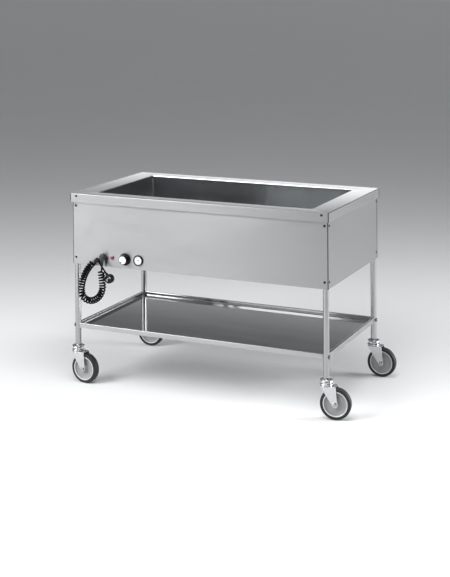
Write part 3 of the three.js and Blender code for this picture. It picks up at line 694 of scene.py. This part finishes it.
def cut_away(piece, cutter_data):
    """Cuts a closed shape out of a piece, and applies it so that its mesh is final."""
    mesh = bpy.data.meshes.new("cutter")
    bmesh.ops.recalc_face_normals(cutter_data, faces=cutter_data.faces)
    cutter_data.to_mesh(mesh)
    cutter_data.free()
    cutter = bpy.data.objects.new("cutter", mesh)
    bpy.context.scene.collection.objects.link(cutter)
    boolean = piece.modifiers.new("cut", "BOOLEAN")
    boolean.operation = "DIFFERENCE"
    boolean.object = cutter
    boolean.solver = "EXACT"
    while piece.modifiers[0].name != boolean.name:
        with bpy.context.temp_override(object=piece):
            bpy.ops.object.modifier_move_to_index(modifier=boolean.name, index=0)
    with bpy.context.temp_override(object=piece):
        bpy.ops.object.modifier_apply(modifier=boolean.name)
    bpy.data.objects.remove(cutter)
    bpy.data.meshes.remove(mesh)


def make_casing():
    for node in ("front_panel", "rear_panel", "left_panel", "right_panel"):
        make_piece(node + "_sheet", cad_copy(node), "panel", replaces=(node,), bevel=0.5)
    bottom = cad_copy("bottom_cover")
    make_piece("bottom_sheet", bottom, "panel", replaces=("bottom_cover",), bevel=0.3)


def make_screws():
    """Dark round-headed socket screws: two in each end of the rim's long sides, and four in each panel."""
    head = [(0, 0.6), (4.7, 0.6), (4.9, 1.1), (4.4, 2.0), (3.0, 2.6), (2.2, 2.7), (2.2, 1.4), (0, 1.4)]
    washer = [(0, 0), (6.0, 0), (5.8, 0.4), (5.2, 0.8), (0, 0.8)]
    places = []
    for side in (-1, 1):
        for end in (-1, 1):
            rim_place = at(end * SCREW["rim_x"], side * RIM["half_y"], RIM["top"] - SCREW["under_top"])
            places.append((rim_place, (0, side, 0)))
            for z in (SCREW["high"], SCREW["low"]):
                places.append((at(end * LEG["x"], side * PANEL["half_y"], z), (0, side, 0)))
                places.append((at(side * PANEL["half_x"], end * LEG["y"], z), (side, 0, 0)))
    for x in SCREW["under_x"]:
        for y in SCREW["under_y"]:
            places.append((at(x, y, PANEL["low"]), (0, 0, -1)))
    heads = bmesh.new()
    washers = bmesh.new()
    for place, way in places:
        turned(head, place, way, 20, into=heads)
        turned(washer, place, way, 20, into=washers)
    make_piece("casing_screws", heads, "screw")
    make_piece("screw_washers", washers, "tube")


# ---------- legs and shelf ----------
def make_legs():
    radius, bored = LEG["radius"], LEG["radius"] - LEG["wall"]
    outline = [(radius, LEG["low"]), (radius, LEG["top"]), (bored, LEG["top"]), (bored, LEG["low"])]
    for name, (side_x, side_y, _turn) in CORNERS.items():
        tube = turned(outline, at(side_x * LEG["x"], side_y * LEG["y"], 0), UP, 64)
        node = "leg_" + name
        make_piece(node + "_tube", tube, "tube", replaces=(node,), bevel=0.3)
        make_shelf_bolt(name, side_x, side_y)


def make_shelf_bolt(name, side_x, side_y):
    """A hexagon bolt with a washer face, through the leg into the shelf's tab."""
    face = at(side_x * (LEG["x"] + LEG["radius"] + 0.3), side_y * LEG["y"], SHELF["top"] - 11)
    way = Vector((side_x, 0, 0))
    bolt = hexagon_head(face, way, 6.2, 4.5)
    shaft = [(0, -31), (2.6, -31), (3, -30.2), (3, 1), (0, 1)]
    turned(shaft, face, way, 24, into=bolt)
    washer = turned([(6.3, -0.3), (8.6, -0.3), (8.8, 0.1), (8.5, 0.9), (6.3, 0.9)], face, way, 32)
    make_piece("shelf_washer_" + name, washer, "relief")
    node = "shelf_bolt_" + name
    make_piece(node + "_hex", bolt, "tube", replaces=(node,))


def hexagon_head(origin, way, radius, height, into=None):
    """A hexagon head with its chamfered top and a round washer face, radius to its flats."""
    along, side, other = basis(way)
    made = into or bmesh.new()
    steps = 24
    loops = []
    levels = (
        (0.98, 0.0, False), (0.98, 0.12, False), (1.0, 0.13, True), (1.0, 0.78, True), (0.9, 1.0, False),
    )
    for share, level, hexagonal in levels:
        ring = []
        for k in range(steps):
            angle = FULL_TURN * k / steps
            reach = radius * share
            if hexagonal:
                reach /= math.cos((angle + math.pi / 6) % (math.pi / 3) - math.pi / 6)
            spoke = side * math.cos(angle) + other * math.sin(angle)
            ring.append(made.verts.new(origin + along * (height * level * MM) + spoke * (reach * MM)))
        loops.append(ring)
    for low, high in zip(loops, loops[1:]):
        for k in range(steps):
            made.faces.new((low[k - 1], low[k], high[k], high[k - 1]))
    made.faces.new(reversed(loops[0]))
    made.faces.new(loops[-1])
    return made


def make_shelf():
    """The tray shelf: skirt, rounded raised edge, sunk deck with a small fillet, and its four tabs."""
    half_x, half_y = LEG["x"] + SHELF["over_leg"], LEG["y"] + SHELF["over_leg"]
    top, sheet, lip = SHELF["top"], SHELF["sheet"], SHELF["lip"]
    deck, low = top - SHELF["sunk"], top - SHELF["skirt"]
    outer_bend, inner_bend, fillet = 2.2, 2.0, 3.0

    def ring(inset, z):
        radius = max(2.5 - inset, 1.5)
        return level_ring(-half_x + inset, half_x - inset, -half_y + inset, half_y - inset, radius, z)

    rings = [ring(lip + fillet * left, deck + fillet * over) for over, left in bend(4)]
    rings += [ring(lip - inner_bend * over, top - inner_bend * left) for over, left in bend(5)]
    rings += [ring(outer_bend * left, top - outer_bend * over) for over, left in bend(5)]
    rings += [ring(0, low), ring(sheet, low), ring(sheet, top - sheet), ring(lip - sheet, top - sheet)]
    rings += [ring(lip - sheet, deck + 1), ring(lip + 1, deck - sheet)]
    shelf = make_piece("shelf_tray", loft(rings), "deck", replaces=("lower_shelf",))
    for side_x, side_y, _turn in CORNERS.values():
        hole = turned(
            [(0, low - 2), (13.2, low - 2), (13.2, top + 2), (0, top + 2)],
            at(side_x * LEG["x"], side_y * LEG["y"], 0), UP, 48,
        )
        cut_away(shelf, hole)
    finish_skirt(shelf, "skirt", "skirt", half_x, half_y)
    tabs = bmesh.new()
    for side_x, side_y, _turn in CORNERS.values():
        near = side_x * (LEG["x"] - LEG["radius"] - 0.9)
        rounded = [*arc(-5, top - 4, 3, 180, 90, 4), *arc(5, top - 4, 3, 90, 0, 4)]
        outline = [(-8, deck - 1), *rounded, (8, deck - 1)]
        prism(outline, at(near, side_y * LEG["y"], 0), Vector((0, side_x, 0)), UP, -2, into=tabs)
    make_piece("shelf_tabs", tabs, "deck", bevel=0.3)


def finish_skirt(piece, sides, ends, half_x, half_y):
    """Gives the piece's outermost upright and bent faces the materials of its long sides and its ends."""
    piece.data.materials.append(MATERIALS[sides])
    piece.data.materials.append(MATERIALS[ends])
    for face in piece.data.polygons:
        place = (face.center - at(0, 0, 0)) / MM
        if abs(place.x) > half_x - 2:
            face.material_index = 2
        elif abs(place.y) > half_y - 2:
            face.material_index = 1


# ---------- casters ----------
def caster_ways(turn):
    """The trailing direction and the axle direction of a caster turned by so many degrees."""
    angle = math.radians(turn)
    return Vector((math.cos(angle), math.sin(angle), 0)), Vector((-math.sin(angle), math.cos(angle), 0))


def make_caster_head(name, origin):
    """The ball-race head: thin flared ring on the stem, round bright cup, and its lower brim."""
    low = LEG["low"]
    crown = FORK["high"] + 0.4
    outline = [(0, low + 40), (9.2, low + 40), (10.6, low + 38.5), (10.6, low - 0.4), (14, low - 0.4)]
    outline += [(20, low - 2.2), (26.4, low - 4.6), (27.4, low - 5.6), (27.2, low - 6.6), (26, low - 6.9)]
    outline += [(20.5, low - 7.6), (19.6, low - 8.6), (20.2, low - 9.6)]
    outline += arc(17.6, low - 14.4, 7.2, 58, -40, 7)
    outline += [(24.2, low - 20.2), (27.6, low - 21.8), (28.2, low - 22.9), (27.4, low - 24)]
    outline += [(25.5, low - 24.2), (24.2, low - 25.2), (24, crown), (6, crown)]
    base = FORK["low"]
    outline += [(6, base - 0.3), (9, base - 0.4), (8.4, base - 2.4), (6.6, base - 3.3), (0, base - 3.3)]
    node = "caster_head_" + name
    made = turned(outline, origin, UP, 72)
    make_piece(node + "_cup", made, "zinc", replaces=(node,), bevel=0.25)


def fork_outline():
    """One pressed cheek seen from the side, as [trail, height] pairs, with its round eye at the axle."""
    radius, trail, eye, high = WHEEL["radius"], WHEEL["trail"], FORK["eye"], FORK["high"]
    # The straight leading edge meets the eye as a tangent.
    start = Vector((-FORK["back"], high - 6))
    centre = Vector((trail, radius))
    away = centre - start
    lean = math.degrees(math.atan2(away.y, away.x))
    tangent = lean - 90 - math.degrees(math.asin(eye / away.length))
    outline = [(FORK["reach"] - 1, high - 1), *arc(-FORK["back"] + 5, high - 6, 5, 90, 180, 4)]
    outline += arc(trail, radius, eye, tangent, 4, 14)
    outline += [(FORK["reach"] + 4.2, radius + 16), (FORK["reach"] + 1, high - 10)]
    return outline


def make_caster_fork(name, origin, turn):
    """The pressed fork: round crown, bridge, two cheeks, and a boss at each eye."""
    trail_way, axle_way = caster_ways(turn)
    half = WHEEL["width"] / 2 + FORK["side_gap"]
    plate = FORK["plate"]
    body = "caster_" + name
    fork = bmesh.new()
    for side in (-1, 1):
        inner = origin + axle_way * (side * half * MM)
        rise = plate if side < 0 else -plate
        prism(fork_outline(), inner, trail_way, UP, rise, into=fork)
        eye = inner + trail_way * (WHEEL["trail"] * MM) + UP * (WHEEL["radius"] * MM)
        boss = [(6.4, plate - 0.4), (9.6, plate - 0.4), (9.2, plate + 0.7), (6.8, plate + 0.7)]
        turned(boss, eye, axle_way * side, 40, into=fork)
    crown = [
        (6.2, FORK["low"]), (FORK["crown"] - 2, FORK["low"]), (FORK["crown"], FORK["low"] + 1.2),
        (FORK["crown"] - 0.6, FORK["high"]), (6.2, FORK["high"]),
    ]
    turned(crown, origin, UP, 64, into=fork)
    outer = half + plate
    bridge = [
        (18, -outer), (FORK["reach"] - 4, -outer), *arc(FORK["reach"] - 6, -outer + 6, 6, -60, 0, 4),
        *arc(FORK["reach"] - 6, outer - 6, 6, 0, 60, 4), (FORK["reach"] - 4, outer), (18, outer),
    ]
    thick = FORK["high"] - FORK["low"] - 0.2
    prism(bridge, origin + UP * (FORK["low"] * MM), trail_way, axle_way, thick, into=fork)
    node = "caster_fork_" + name
    make_piece(node + "_pressing", fork, "zinc", body=body, replaces=(node,), bevel=0.7)


def make_caster_axle(name, origin, turn):
    """The axle bolt, its hexagon head, its nut, and the end of its thread."""
    trail_way, axle_way = caster_ways(turn)
    centre = origin + trail_way * (WHEEL["trail"] * MM) + UP * (WHEEL["radius"] * MM)
    half = WHEEL["width"] / 2 + FORK["side_gap"] + FORK["plate"] + 0.3
    axle = bmesh.new()
    for side in (-1, 1):
        face = centre + axle_way * (side * half * MM)
        washer = [(0, 0), (8.6, 0), (8.6, 1.1), (0, 1.1)]
        turned(washer, face, axle_way * side, 40, into=axle)
        hexagon_head(face + axle_way * (side * 1.1 * MM), axle_way * side, 6.2, 3.6, into=axle)
    rod = [(0, -half - 1), (5.9, -half - 1), (5.9, half + 1), (0, half + 1)]
    turned(rod, centre, axle_way, 32, into=axle)
    node = "caster_axle_" + name
    make_piece(node + "_bolt", axle, "tube", body="caster_" + name, replaces=(node,))


def make_wheel(name, origin, turn):
    """The dished wheel centre with its raised lip and hub, and the rubber tyre with its shoulders."""
    trail_way, axle_way = caster_ways(turn)
    centre = origin + trail_way * (WHEEL["trail"] * MM) + UP * (WHEEL["radius"] * MM)
    half = WHEEL["width"] / 2
    rim = WHEEL["rim"]
    face = [
        (6.3, half + 1), (13, half + 1), (14.6, half), (15.4, half - 3), (18, 6.6), (22, 5.6), (30, 5.4),
        (38, 6.0), (43.5, 8.4), (46.2, half - 3.4), (46.8, half - 1.2), (48, half - 0.6), (49.2, half - 0.9),
        (rim - 0.3, half - 2),
    ]
    back = [(radius, -depth) for radius, depth in reversed(face)]
    core = turned([*face, *back], centre, axle_way, 96)
    body = "roller_" + name
    wheel = make_piece(
        "wheel_%s_centre" % name, core, "wheel", body=body,
        replaces=("wheel_" + name,), bevel=0.3,
    )
    # The lip and the faces outside it take the light grey copy: a painted highlight on the raised edge.
    wheel.data.materials.append(MATERIALS["lip"])
    for polygon in wheel.data.polygons:
        spoke = polygon.center - centre
        spoke -= spoke.dot(axle_way) * axle_way
        if spoke.length > WHEEL["lip_highlight_from"] * MM:
            polygon.material_index = 1
    shoulder = [(rim, half - 2.6), (51.5, half - 1.4), (54, half - 0.6), (57, half - 0.5)]
    shoulder += arc(57.2, half - 5.4, 4.9, 84, 20, 6)
    tread = [(62.3, 7.5), (62.5, 4.5), (62.5, 1.2), (62.1, 0.9), (62.1, 0)]
    outline = [*shoulder, *tread]
    other = [(radius, -depth) for radius, depth in reversed(outline[:-1])]
    tyre = turned([*outline, *other], centre, axle_way, 120)
    make_piece("tyre_%s_rubber" % name, tyre, "tyre", body=body, replaces=("tyre_" + name,))


def make_casters():
    for name, (side_x, side_y, turn) in CORNERS.items():
        origin = at(side_x * LEG["x"], side_y * LEG["y"], 0)
        make_caster_head(name, origin)
        make_caster_fork(name, origin, turn)
        make_caster_axle(name, origin, turn)
        make_wheel(name, origin, turn)


# ---------- control row ----------
def on_front(x, z):
    return at(x, -PANEL["half_y"], z)


def make_knob():
    """A black knob with a ribbed grip and a satin face with a pointer notch in its edge."""
    centre = on_front(KNOB["x"], KNOB["z"])
    along, side, other = basis(FRONT)
    made = bmesh.new()
    steps = 144
    ribs = 18
    profile = [
        (4, -14, 0), (4, 1.2, 0), (24.5, 1.0, 0), (25.9, 1.6, 0), (25.9, 3.2, 0), (25.2, 4.4, 0),
        (21.2, 5.6, 0), (20.2, 7, 0.5), (19.6, 10, 1), (19.0, 20, 1), (18.8, 22.6, 0.6), (18.2, 23.9, 0),
        (16.9, 24.2, 0), (16.6, 22.6, 0), (0, 22.6, 0),
    ]
    loops = []
    for radius, height, ribbed in profile:
        level = centre + along * (height * MM)
        if radius == 0:
            loops.append([made.verts.new(level)])
            continue
        ring = []
        for k in range(steps):
            angle = FULL_TURN * k / steps
            reach = radius - ribbed * 0.7 * (0.5 - 0.5 * math.cos(angle * ribs)) ** 2
            spoke = side * math.cos(angle) + other * math.sin(angle)
            ring.append(made.verts.new(level + spoke * (reach * MM)))
        loops.append(ring)
    made.faces.new(loops[0])
    for low, high in zip(loops, loops[1:]):
        for k in range(steps):
            corners = (low[k - 1], low[k], high[k % len(high)], high[(k - 1) % len(high)])
            made.faces.new(list(dict.fromkeys(corners)))
    make_piece("knob_grip", made, "black", body="knob", replaces=("control_knob",))
    face = [
        (0, 22.9), (16.2, 22.9), (16.4, 23.2), (16.3, 23.9),
        (15.6, 24.15), (12.5, 24.1), (12, 23.85), (0, 23.85),
    ]
    cap = turned(face, centre, FRONT, 72)
    make_piece("knob_face", cap, "cap", body="knob", replaces=("knob_cap",))
    pointer_angle = math.radians(KNOB["pointer"])
    way = Vector((math.cos(pointer_angle), 0, math.sin(pointer_angle)))
    across = Vector((-way.z, 0, way.x))
    start = centre + FRONT * (23.6 * MM)
    outline = [(9.6, -1.6), (16.6, -2.3), (16.6, 2.3), (9.6, 1.6), (8.2, 0)]
    notch = prism(outline, start, way, across, way.cross(across).dot(FRONT) * 0.8)
    make_piece("knob_pointer", notch, "black", body="knob")


def digits(text, size, centre, name):
    """Plain numbers as flat raised shapes on the dial, facing the front."""
    curve = bpy.data.curves.new(name, "FONT")
    curve.body = text
    curve.size = size * MM
    curve.extrude = 0.08 * MM
    curve.align_x = "CENTER"
    curve.align_y = "CENTER"
    curve.materials.append(MATERIALS["mark"])
    piece = bpy.data.objects.new(name, curve)
    bpy.context.scene.collection.objects.link(piece)
    piece.rotation_euler = (math.radians(90), 0, 0)
    piece.location = centre
    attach(piece, "trolley")


def make_gauge():
    """The thermometer: black bezel, white dial with its scale, needle on its pin, and a clear pane."""
    centre = on_front(GAUGE["x"], GAUGE["z"])
    shell = [
        (0, -24), (15, -24), (17.6, -21.4), (17.8, 0.4), (22.2, 0.4), (22.5, 0.8), (22.5, 4.6), (21.9, 6.2),
        (20.9, 6.9), (18.6, 7), (17.9, 6.5), (17.7, 5.5), (17.7, 2.2), (0, 2.2),
    ]
    case = turned(shell, centre, FRONT, 72)
    make_piece("gauge_case", case, "black", replaces=("thermometer_case",), bevel=0.2)
    dial = [(0, 2.5), (17.4, 2.5), (17.4, 3.1), (17.1, 3.2), (0.8, 3.2), (0.8, 4.6), (0, 4.6)]
    dial = turned(dial, centre, FRONT, 72)
    make_piece("gauge_dial", dial, "dial", replaces=("thermometer_dial",))
    marks = bmesh.new()
    level = centre + FRONT * (3.15 * MM)
    for number in range(GAUGE["marks"] + 1):
        angle = math.radians(GAUGE["first"] - GAUGE["sweep"] * number / GAUGE["marks"])
        way = Vector((math.cos(angle), 0, math.sin(angle)))
        across = Vector((-way.z, 0, way.x))
        major = number % 4 == 0
        inner, half = (12.6, 0.32) if major else (14.4, 0.16)
        outline = [(inner, -half), (16.4, -half), (16.4, half), (inner, half)]
        prism(outline, level, way, across, way.cross(across).dot(FRONT) * 0.14, into=marks)
    make_piece("gauge_marks", marks, "mark")
    for number in range(GAUGE["numbers"] + 1):
        angle = math.radians(GAUGE["first"] - GAUGE["sweep"] * number / GAUGE["numbers"])
        place = level + Vector((math.cos(angle), 0, math.sin(angle))) * (9.6 * MM)
        degrees = number * GAUGE["degrees"]
        digits(str(degrees), 3.6, place, "gauge_number_%d" % degrees)
    make_needle(centre)
    pane = [(0, 5.3), (17.4, 5.3), (17.4, 6.0), (16.6, 6.25), (9, 6.5), (0, 6.6)]
    pane = turned(pane, centre, FRONT, 64)
    make_piece("gauge_pane", pane, "glass", replaces=("thermometer_glass",))


def make_needle(centre):
    angle = math.radians(GAUGE["first"])
    way = Vector((math.cos(angle), 0, math.sin(angle)))
    across = Vector((-way.z, 0, way.x))
    low_side = [(-6.5, -1.3), (-5.6, -1.3), (0, -1.0), (13.6, -0.35)]
    outline = [*low_side, (14.5, 0), *((x, -y) for x, y in reversed(low_side))]
    facing = way.cross(across).dot(FRONT)
    made = prism(outline, centre + FRONT * (3.6 * MM), way, across, facing * 0.5)
    hub = [(0.95, 3.5), (2.4, 3.5), (2.4, 4.2), (2.1, 4.4), (0.95, 4.4)]
    turned(hub, centre, FRONT, 32, into=made)
    make_piece("gauge_needle", made, "mark", body="needle", replaces=("thermometer_needle",))


def make_lamp():
    centre = on_front(LAMP["x"], LAMP["z"])
    ring = [(5.3, 0.3), (9.2, 0.3), (9.5, 0.7), (9.3, 1.5), (8.3, 2.2), (5.3, 2.2)]
    ring = turned(ring, centre, FRONT, 48)
    make_piece("lamp_ring", ring, "tube", replaces=("pilot_lamp_bezel",))
    lens = [(0, -12), (5, -12), (5, 2.5), (7.3, 2.5), (7.5, 2.9), (7.5, 4.4)]
    lens += [(6.9, 6.2), (5.8, 7.4), (4.2, 8.3), (2.2, 8.85), (0, 9)]
    lens = turned(lens, centre, FRONT, 48)
    make_piece("lamp_lens", lens, "lens", replaces=("pilot_lamp_lens",))


def make_relief():
    """The cord's gland: a round elbow on the panel, and a ringed boot that narrows down to the cord."""
    centre = on_front(RELIEF["x"], RELIEF["top"])
    radius, depth = RELIEF["radius"], RELIEF["depth"]
    elbow = [(0, -12), (6.2, -12), (6.2, 0.3), (radius + 0.2, 0.3), (radius + 0.2, 2.4), (radius, 3)]
    elbow += [(radius, depth), (radius - 0.8, depth + 3), (radius - 3, depth + 5.2)]
    elbow += [(radius - 6, depth + 6), (0, depth + 6)]
    made = turned(elbow, centre, FRONT, 48)
    top = centre + FRONT * (depth * MM)
    fall = RELIEF["top"] - RELIEF["low"]
    boot = [(0, 0), (radius - 2, 0), (radius - 2, 13)]
    for ridge in range(6):
        start = 14 + ridge * 4.2
        swell = radius - 2.6 - ridge * 0.62
        boot += [(swell - 0.9, start), (swell, start + 0.7), (swell, start + 2.3), (swell - 0.9, start + 3)]
    boot += [(5.6, fall - 1), (4.8, fall), (0, fall)]
    turned(boot, top, (0, 0, -1), 40, into=made)
    make_piece("cord_gland", made, "relief", replaces=("cord_strain_relief",), bevel=0.3)


def make_peg():
    outline = [(0, -11), (3, -11), (3, 0.3), (7.5, 0.3), (7.5, 1.2), (5.6, 1.9), (5.3, 3), (5.3, 31)]
    outline += [(5.6, 31.8), (7.6, 32.4), (8, 33), (8, 34.2), (7.4, 35.3), (6, 35.9), (0, 36)]
    peg = turned(outline, on_front(PEG["x"], PEG["z"]), FRONT, 48)
    make_piece("cord_stud", peg, "black", replaces=("cord_peg",))


# ---------- drain and what is inside ----------
def make_drain():
    """The outlet pipe, the valve with its hexagon body and spout, and the lever with its dipped grip."""
    origin = at(DRAIN["x"], DRAIN["y"], 0)
    top = WELL["floor"] - RIM["sheet"] - 0.3
    pipe = [
        (9.5, DRAIN["pipe_low"]), (12, DRAIN["pipe_low"]), (12, top - 2.5), (19.4, top - 2.5),
        (20, top - 1.9), (20, top), (9.5, top),
    ]
    pipe = turned(pipe, origin, UP, 48)
    make_piece("outlet_pipe", pipe, "bright", replaces=("drain_pipe",))
    axis = DRAIN["axis"]
    valve_middle = at(DRAIN["x"], DRAIN["y"], axis)
    nut_tops = ((18.5, 15.6, 9), (-10.5, 14.6, 8))
    valve = bmesh.new()
    for rise, radius, height in nut_tops:
        hexagon_head(at(DRAIN["x"], DRAIN["y"], axis + rise), Vector((0, 0, -1)), radius, height, into=valve)
    ball = [(0, 13.5), (12.5, 13.5), (15.4, 7.5), (16.4, 0), (15.4, -7.5), (12.5, -14.5), (0, -14.5)]
    spout = [
        (0, -16.5), (10.8, -16.5), (10.8, -28.5), (11.2, -29.5),
        (11.2, -32.1), (8.6, -32.5), (8.4, -24.5), (0, -24.5),
    ]
    for outline in (ball, spout):
        turned(outline, valve_middle, UP, 48, into=valve)
    neck = [(0, 8), (7, 8), (7, 20.5), (6.2, 23.9), (0, 23.9)]
    turned(neck, valve_middle, (-1, 0, 0), 32, into=valve)
    make_piece("valve_body", valve, "brass", replaces=("drain_valve",), bevel=0.2)
    centre = at(DRAIN["x"] - 24.3, DRAIN["y"], axis)
    outwards = Vector((-1, 0, 0))
    lever = hexagon_head(centre + outwards * (3.0 * MM), outwards, 6.4, 3.6)
    turned([(0, 0), (8, 0), (8, 2.6), (7, 3.2), (0, 3.2)], centre, outwards, 40, into=lever)
    arm = [(-6, -6), (8, -6), (20, -4.6), (30, -4.6), (30, 4.6), (20, 4.6), (8, 6), (-6, 6)]
    sideways = Vector((0, 1, 0))
    prism(arm, centre + outwards * (3.2 * MM), sideways, UP, -2.4, into=lever)
    make_piece(
        "lever_arm", lever, "zinc", body="drain_lever", replaces=("drain_lever",), bevel=0.3,
    )
    grip = [
        (22, -5.6), (26, -6.6), (34, -7.2), (58, -7.4), *arc(60, -0.4, 7, -90, 0, 4),
        *arc(60, 0.4, 7, 0, 90, 4), (58, 7.4), (34, 7.2), (26, 6.6), (22, 5.6),
    ]
    made = prism(grip, centre + outwards * (1.2 * MM), sideways, UP, -6.6)
    make_piece("lever_grip", made, "red_grip", body="drain_lever", bevel=2.0)


def make_insulation():
    """The board under the well, with soft edges and the waves of its fibres."""
    low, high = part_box("insulation_board")
    made = bmesh.new()
    bmesh.ops.create_grid(made, x_segments=60, y_segments=36, size=0.5)
    grown = bmesh.ops.extrude_face_region(made, geom=made.faces[:])
    lifted = [item for item in grown["geom"] if isinstance(item, bmesh.types.BMVert)]
    for vert in lifted:
        vert.co.z = 1
    span = high - low
    for vert in made.verts:
        wave = WOOL["wave"] * MM * math.sin(vert.co.x * 41) * math.cos(vert.co.y * 29)
        edge = WOOL["edge"] * MM if max(abs(vert.co.x), abs(vert.co.y)) > 0.499 else 0
        inset = WOOL["inset"] * MM
        top = vert.co.z > 0.5
        vert.co = Vector((
            low.x + span.x * (vert.co.x + 0.5), low.y + span.y * (vert.co.y + 0.5),
            (high.z - inset + wave - edge) if top else (low.z + inset + wave + edge),
        ))
    make_piece("wool_board", made, "wool", replaces=("insulation_board",))


def finish_inner_nodes():
    """The pieces inside the casing keep their CAD shape and get their own materials."""
    inner = {
        "heating_element": "tube", "thermostat_bulb": "brass",
        "thermostat_body": "black", "terminal_box": "relief",
    }
    for node, material in inner.items():
        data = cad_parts[node].data
        data.materials.clear()
        data.materials.append(MATERIALS[material])


# ---------- stage ----------
def area_light(name, location, target, size, power):
    data = bpy.data.lights.new(name, "AREA")
    data.shape = "RECTANGLE"
    data.size, data.size_y = size
    data.energy = power
    light = bpy.data.objects.new(name, data)
    bpy.context.scene.collection.objects.link(light)
    light.location = location
    light.rotation_mode = "QUATERNION"
    light.rotation_quaternion = (Vector(target) - Vector(location)).to_track_quat("-Z", "Y")
    light.visible_camera = False


def sky_ramp(nodes, links, height, tones):
    """A grey for each height above the horizon, from (height, tone) pairs."""
    ramp = nodes.new("ShaderNodeValToRGB")
    stops = ramp.color_ramp.elements
    stops[0].position, stops[1].position = tones[0][0], tones[-1][0]
    for position, _ in tones[1:-1]:
        stops.new(position)
    for stop, (_, tone) in zip(stops, tones):
        stop.color = (tone, tone * 1.02, tone * 1.03, 1)
    links.new(height, ramp.inputs["Fac"])
    return ramp.outputs["Color"]


def make_world():
    """A studio: a backdrop that darkens upwards behind the trolley, and a dim room in front of it."""
    world = bpy.data.worlds.new("studio")
    bpy.context.scene.world = world
    world.use_nodes = True
    nodes, links = world.node_tree.nodes, world.node_tree.links
    place = nodes.new("ShaderNodeTexCoord")
    split = nodes.new("ShaderNodeSeparateXYZ")
    links.new(place.outputs["Generated"], split.inputs["Vector"])
    aside = math_node(nodes, links, "ABSOLUTE", split.outputs["X"])
    raised = math_node(nodes, links, "MULTIPLY_ADD", aside, SKY_TILT, split.outputs["Z"])
    back = sky_ramp(nodes, links, raised, BACK_SKY)
    front = sky_ramp(nodes, links, split.outputs["Z"], FRONT_SKY)
    behind = map_range(nodes, links, split.outputs["Y"], 0, 1, -0.15, 0.35)
    mixed = nodes.new("ShaderNodeMix")
    mixed.data_type = "RGBA"
    links.new(behind, mixed.inputs["Factor"])
    links.new(front, mixed.inputs[6])
    links.new(back, mixed.inputs[7])
    links.new(mixed.outputs[2], nodes["Background"].inputs["Color"])
    right = map_range(nodes, links, split.outputs["X"], 0, 1, 0.0, 0.35)
    low = map_range(nodes, links, split.outputs["Z"], 1, 0, 0.08, 0.16)
    low_right = math_node(nodes, links, "MULTIPLY", right, low)
    back_right = math_node(nodes, links, "MULTIPLY", low_right, behind)
    ahead = math_node(nodes, links, "SUBTRACT", 1, behind)
    front_right = math_node(nodes, links, "MULTIPLY", right, ahead)
    brighter = map_range(nodes, links, back_right, 1.0, SKY_RIGHT, 0, 1)
    strength = math_node(nodes, links, "MULTIPLY_ADD", front_right, FRONT_RIGHT_DIMMING, brighter)
    links.new(strength, nodes["Background"].inputs["Strength"])


# Tones against a height that grows to the sides, as the backdrop's level bands do.
BACK_SKY = (
    (0.0, 1.75), (0.203, 1.75), (0.211, 0.7), (0.226, 0.22), (0.27, 0.25),
    (0.298, 0.5), (0.308, 0.16), (0.330, 0.11), (0.45, 0.18), (1.0, 0.26),
)
FRONT_SKY = ((0.0, 0.12), (0.2, 0.2), (0.35, 0.24), (0.6, 0.2), (1.0, 0.26))
SKY_TILT = 0.12
SKY_RIGHT = 3.0
FRONT_RIGHT_DIMMING = -0.4


# Each light: its name, its place and its target in metres, its two sides in metres, and its watts.
LIGHTS = (
    ("key", (-2.4, -3.2, 3.0), (-0.7, -1.5, 0), (2.4, 1.8), 155),
    ("top", (0.6, -1.4, 3.2), (0.2, -1.2, 0), (2.6, 1.4), 70),
    ("front_band", (-2.2, -5.2, 2.1), (0, 0, 0.7), (1.1, 1.0), 6),
    ("right", (3.4, 1.2, 1.5), (0.4, -0.2, 0), (1.6, 1.6), 100),
    ("front_left", (-3.9, -3.3, 1.4), (0, 0, 0.6), (2.0, 2.6), 62),
)
FLOOR_HALF = 400


def make_stage():
    half = FLOOR_HALF
    floor_mesh = bpy.data.meshes.new("floor")
    floor_mesh.from_pydata(
        [(-half, -half, 0), (half, -half, 0), (half, half, 0), (-half, half, 0)], [], [(0, 1, 2, 3)],
    )
    floor_mesh.materials.append(MATERIALS["floor"])
    floor = bpy.data.objects.new("floor", floor_mesh)
    bpy.context.scene.collection.objects.link(floor)

    make_world()
    for light in LIGHTS:
        area_light(*light)
    bpy.context.scene.view_settings.view_transform = "Standard"


make_camera()
cord, cord_length = make_cord()
plug_pieces = make_plug()
make_rim()
make_corner_seals()
make_well()
make_casing()
make_screws()
make_legs()
make_shelf()
make_casters()
make_knob()
make_gauge()
make_lamp()
make_relief()
make_peg()
make_drain()
make_insulation()
finish_inner_nodes()
make_stage()
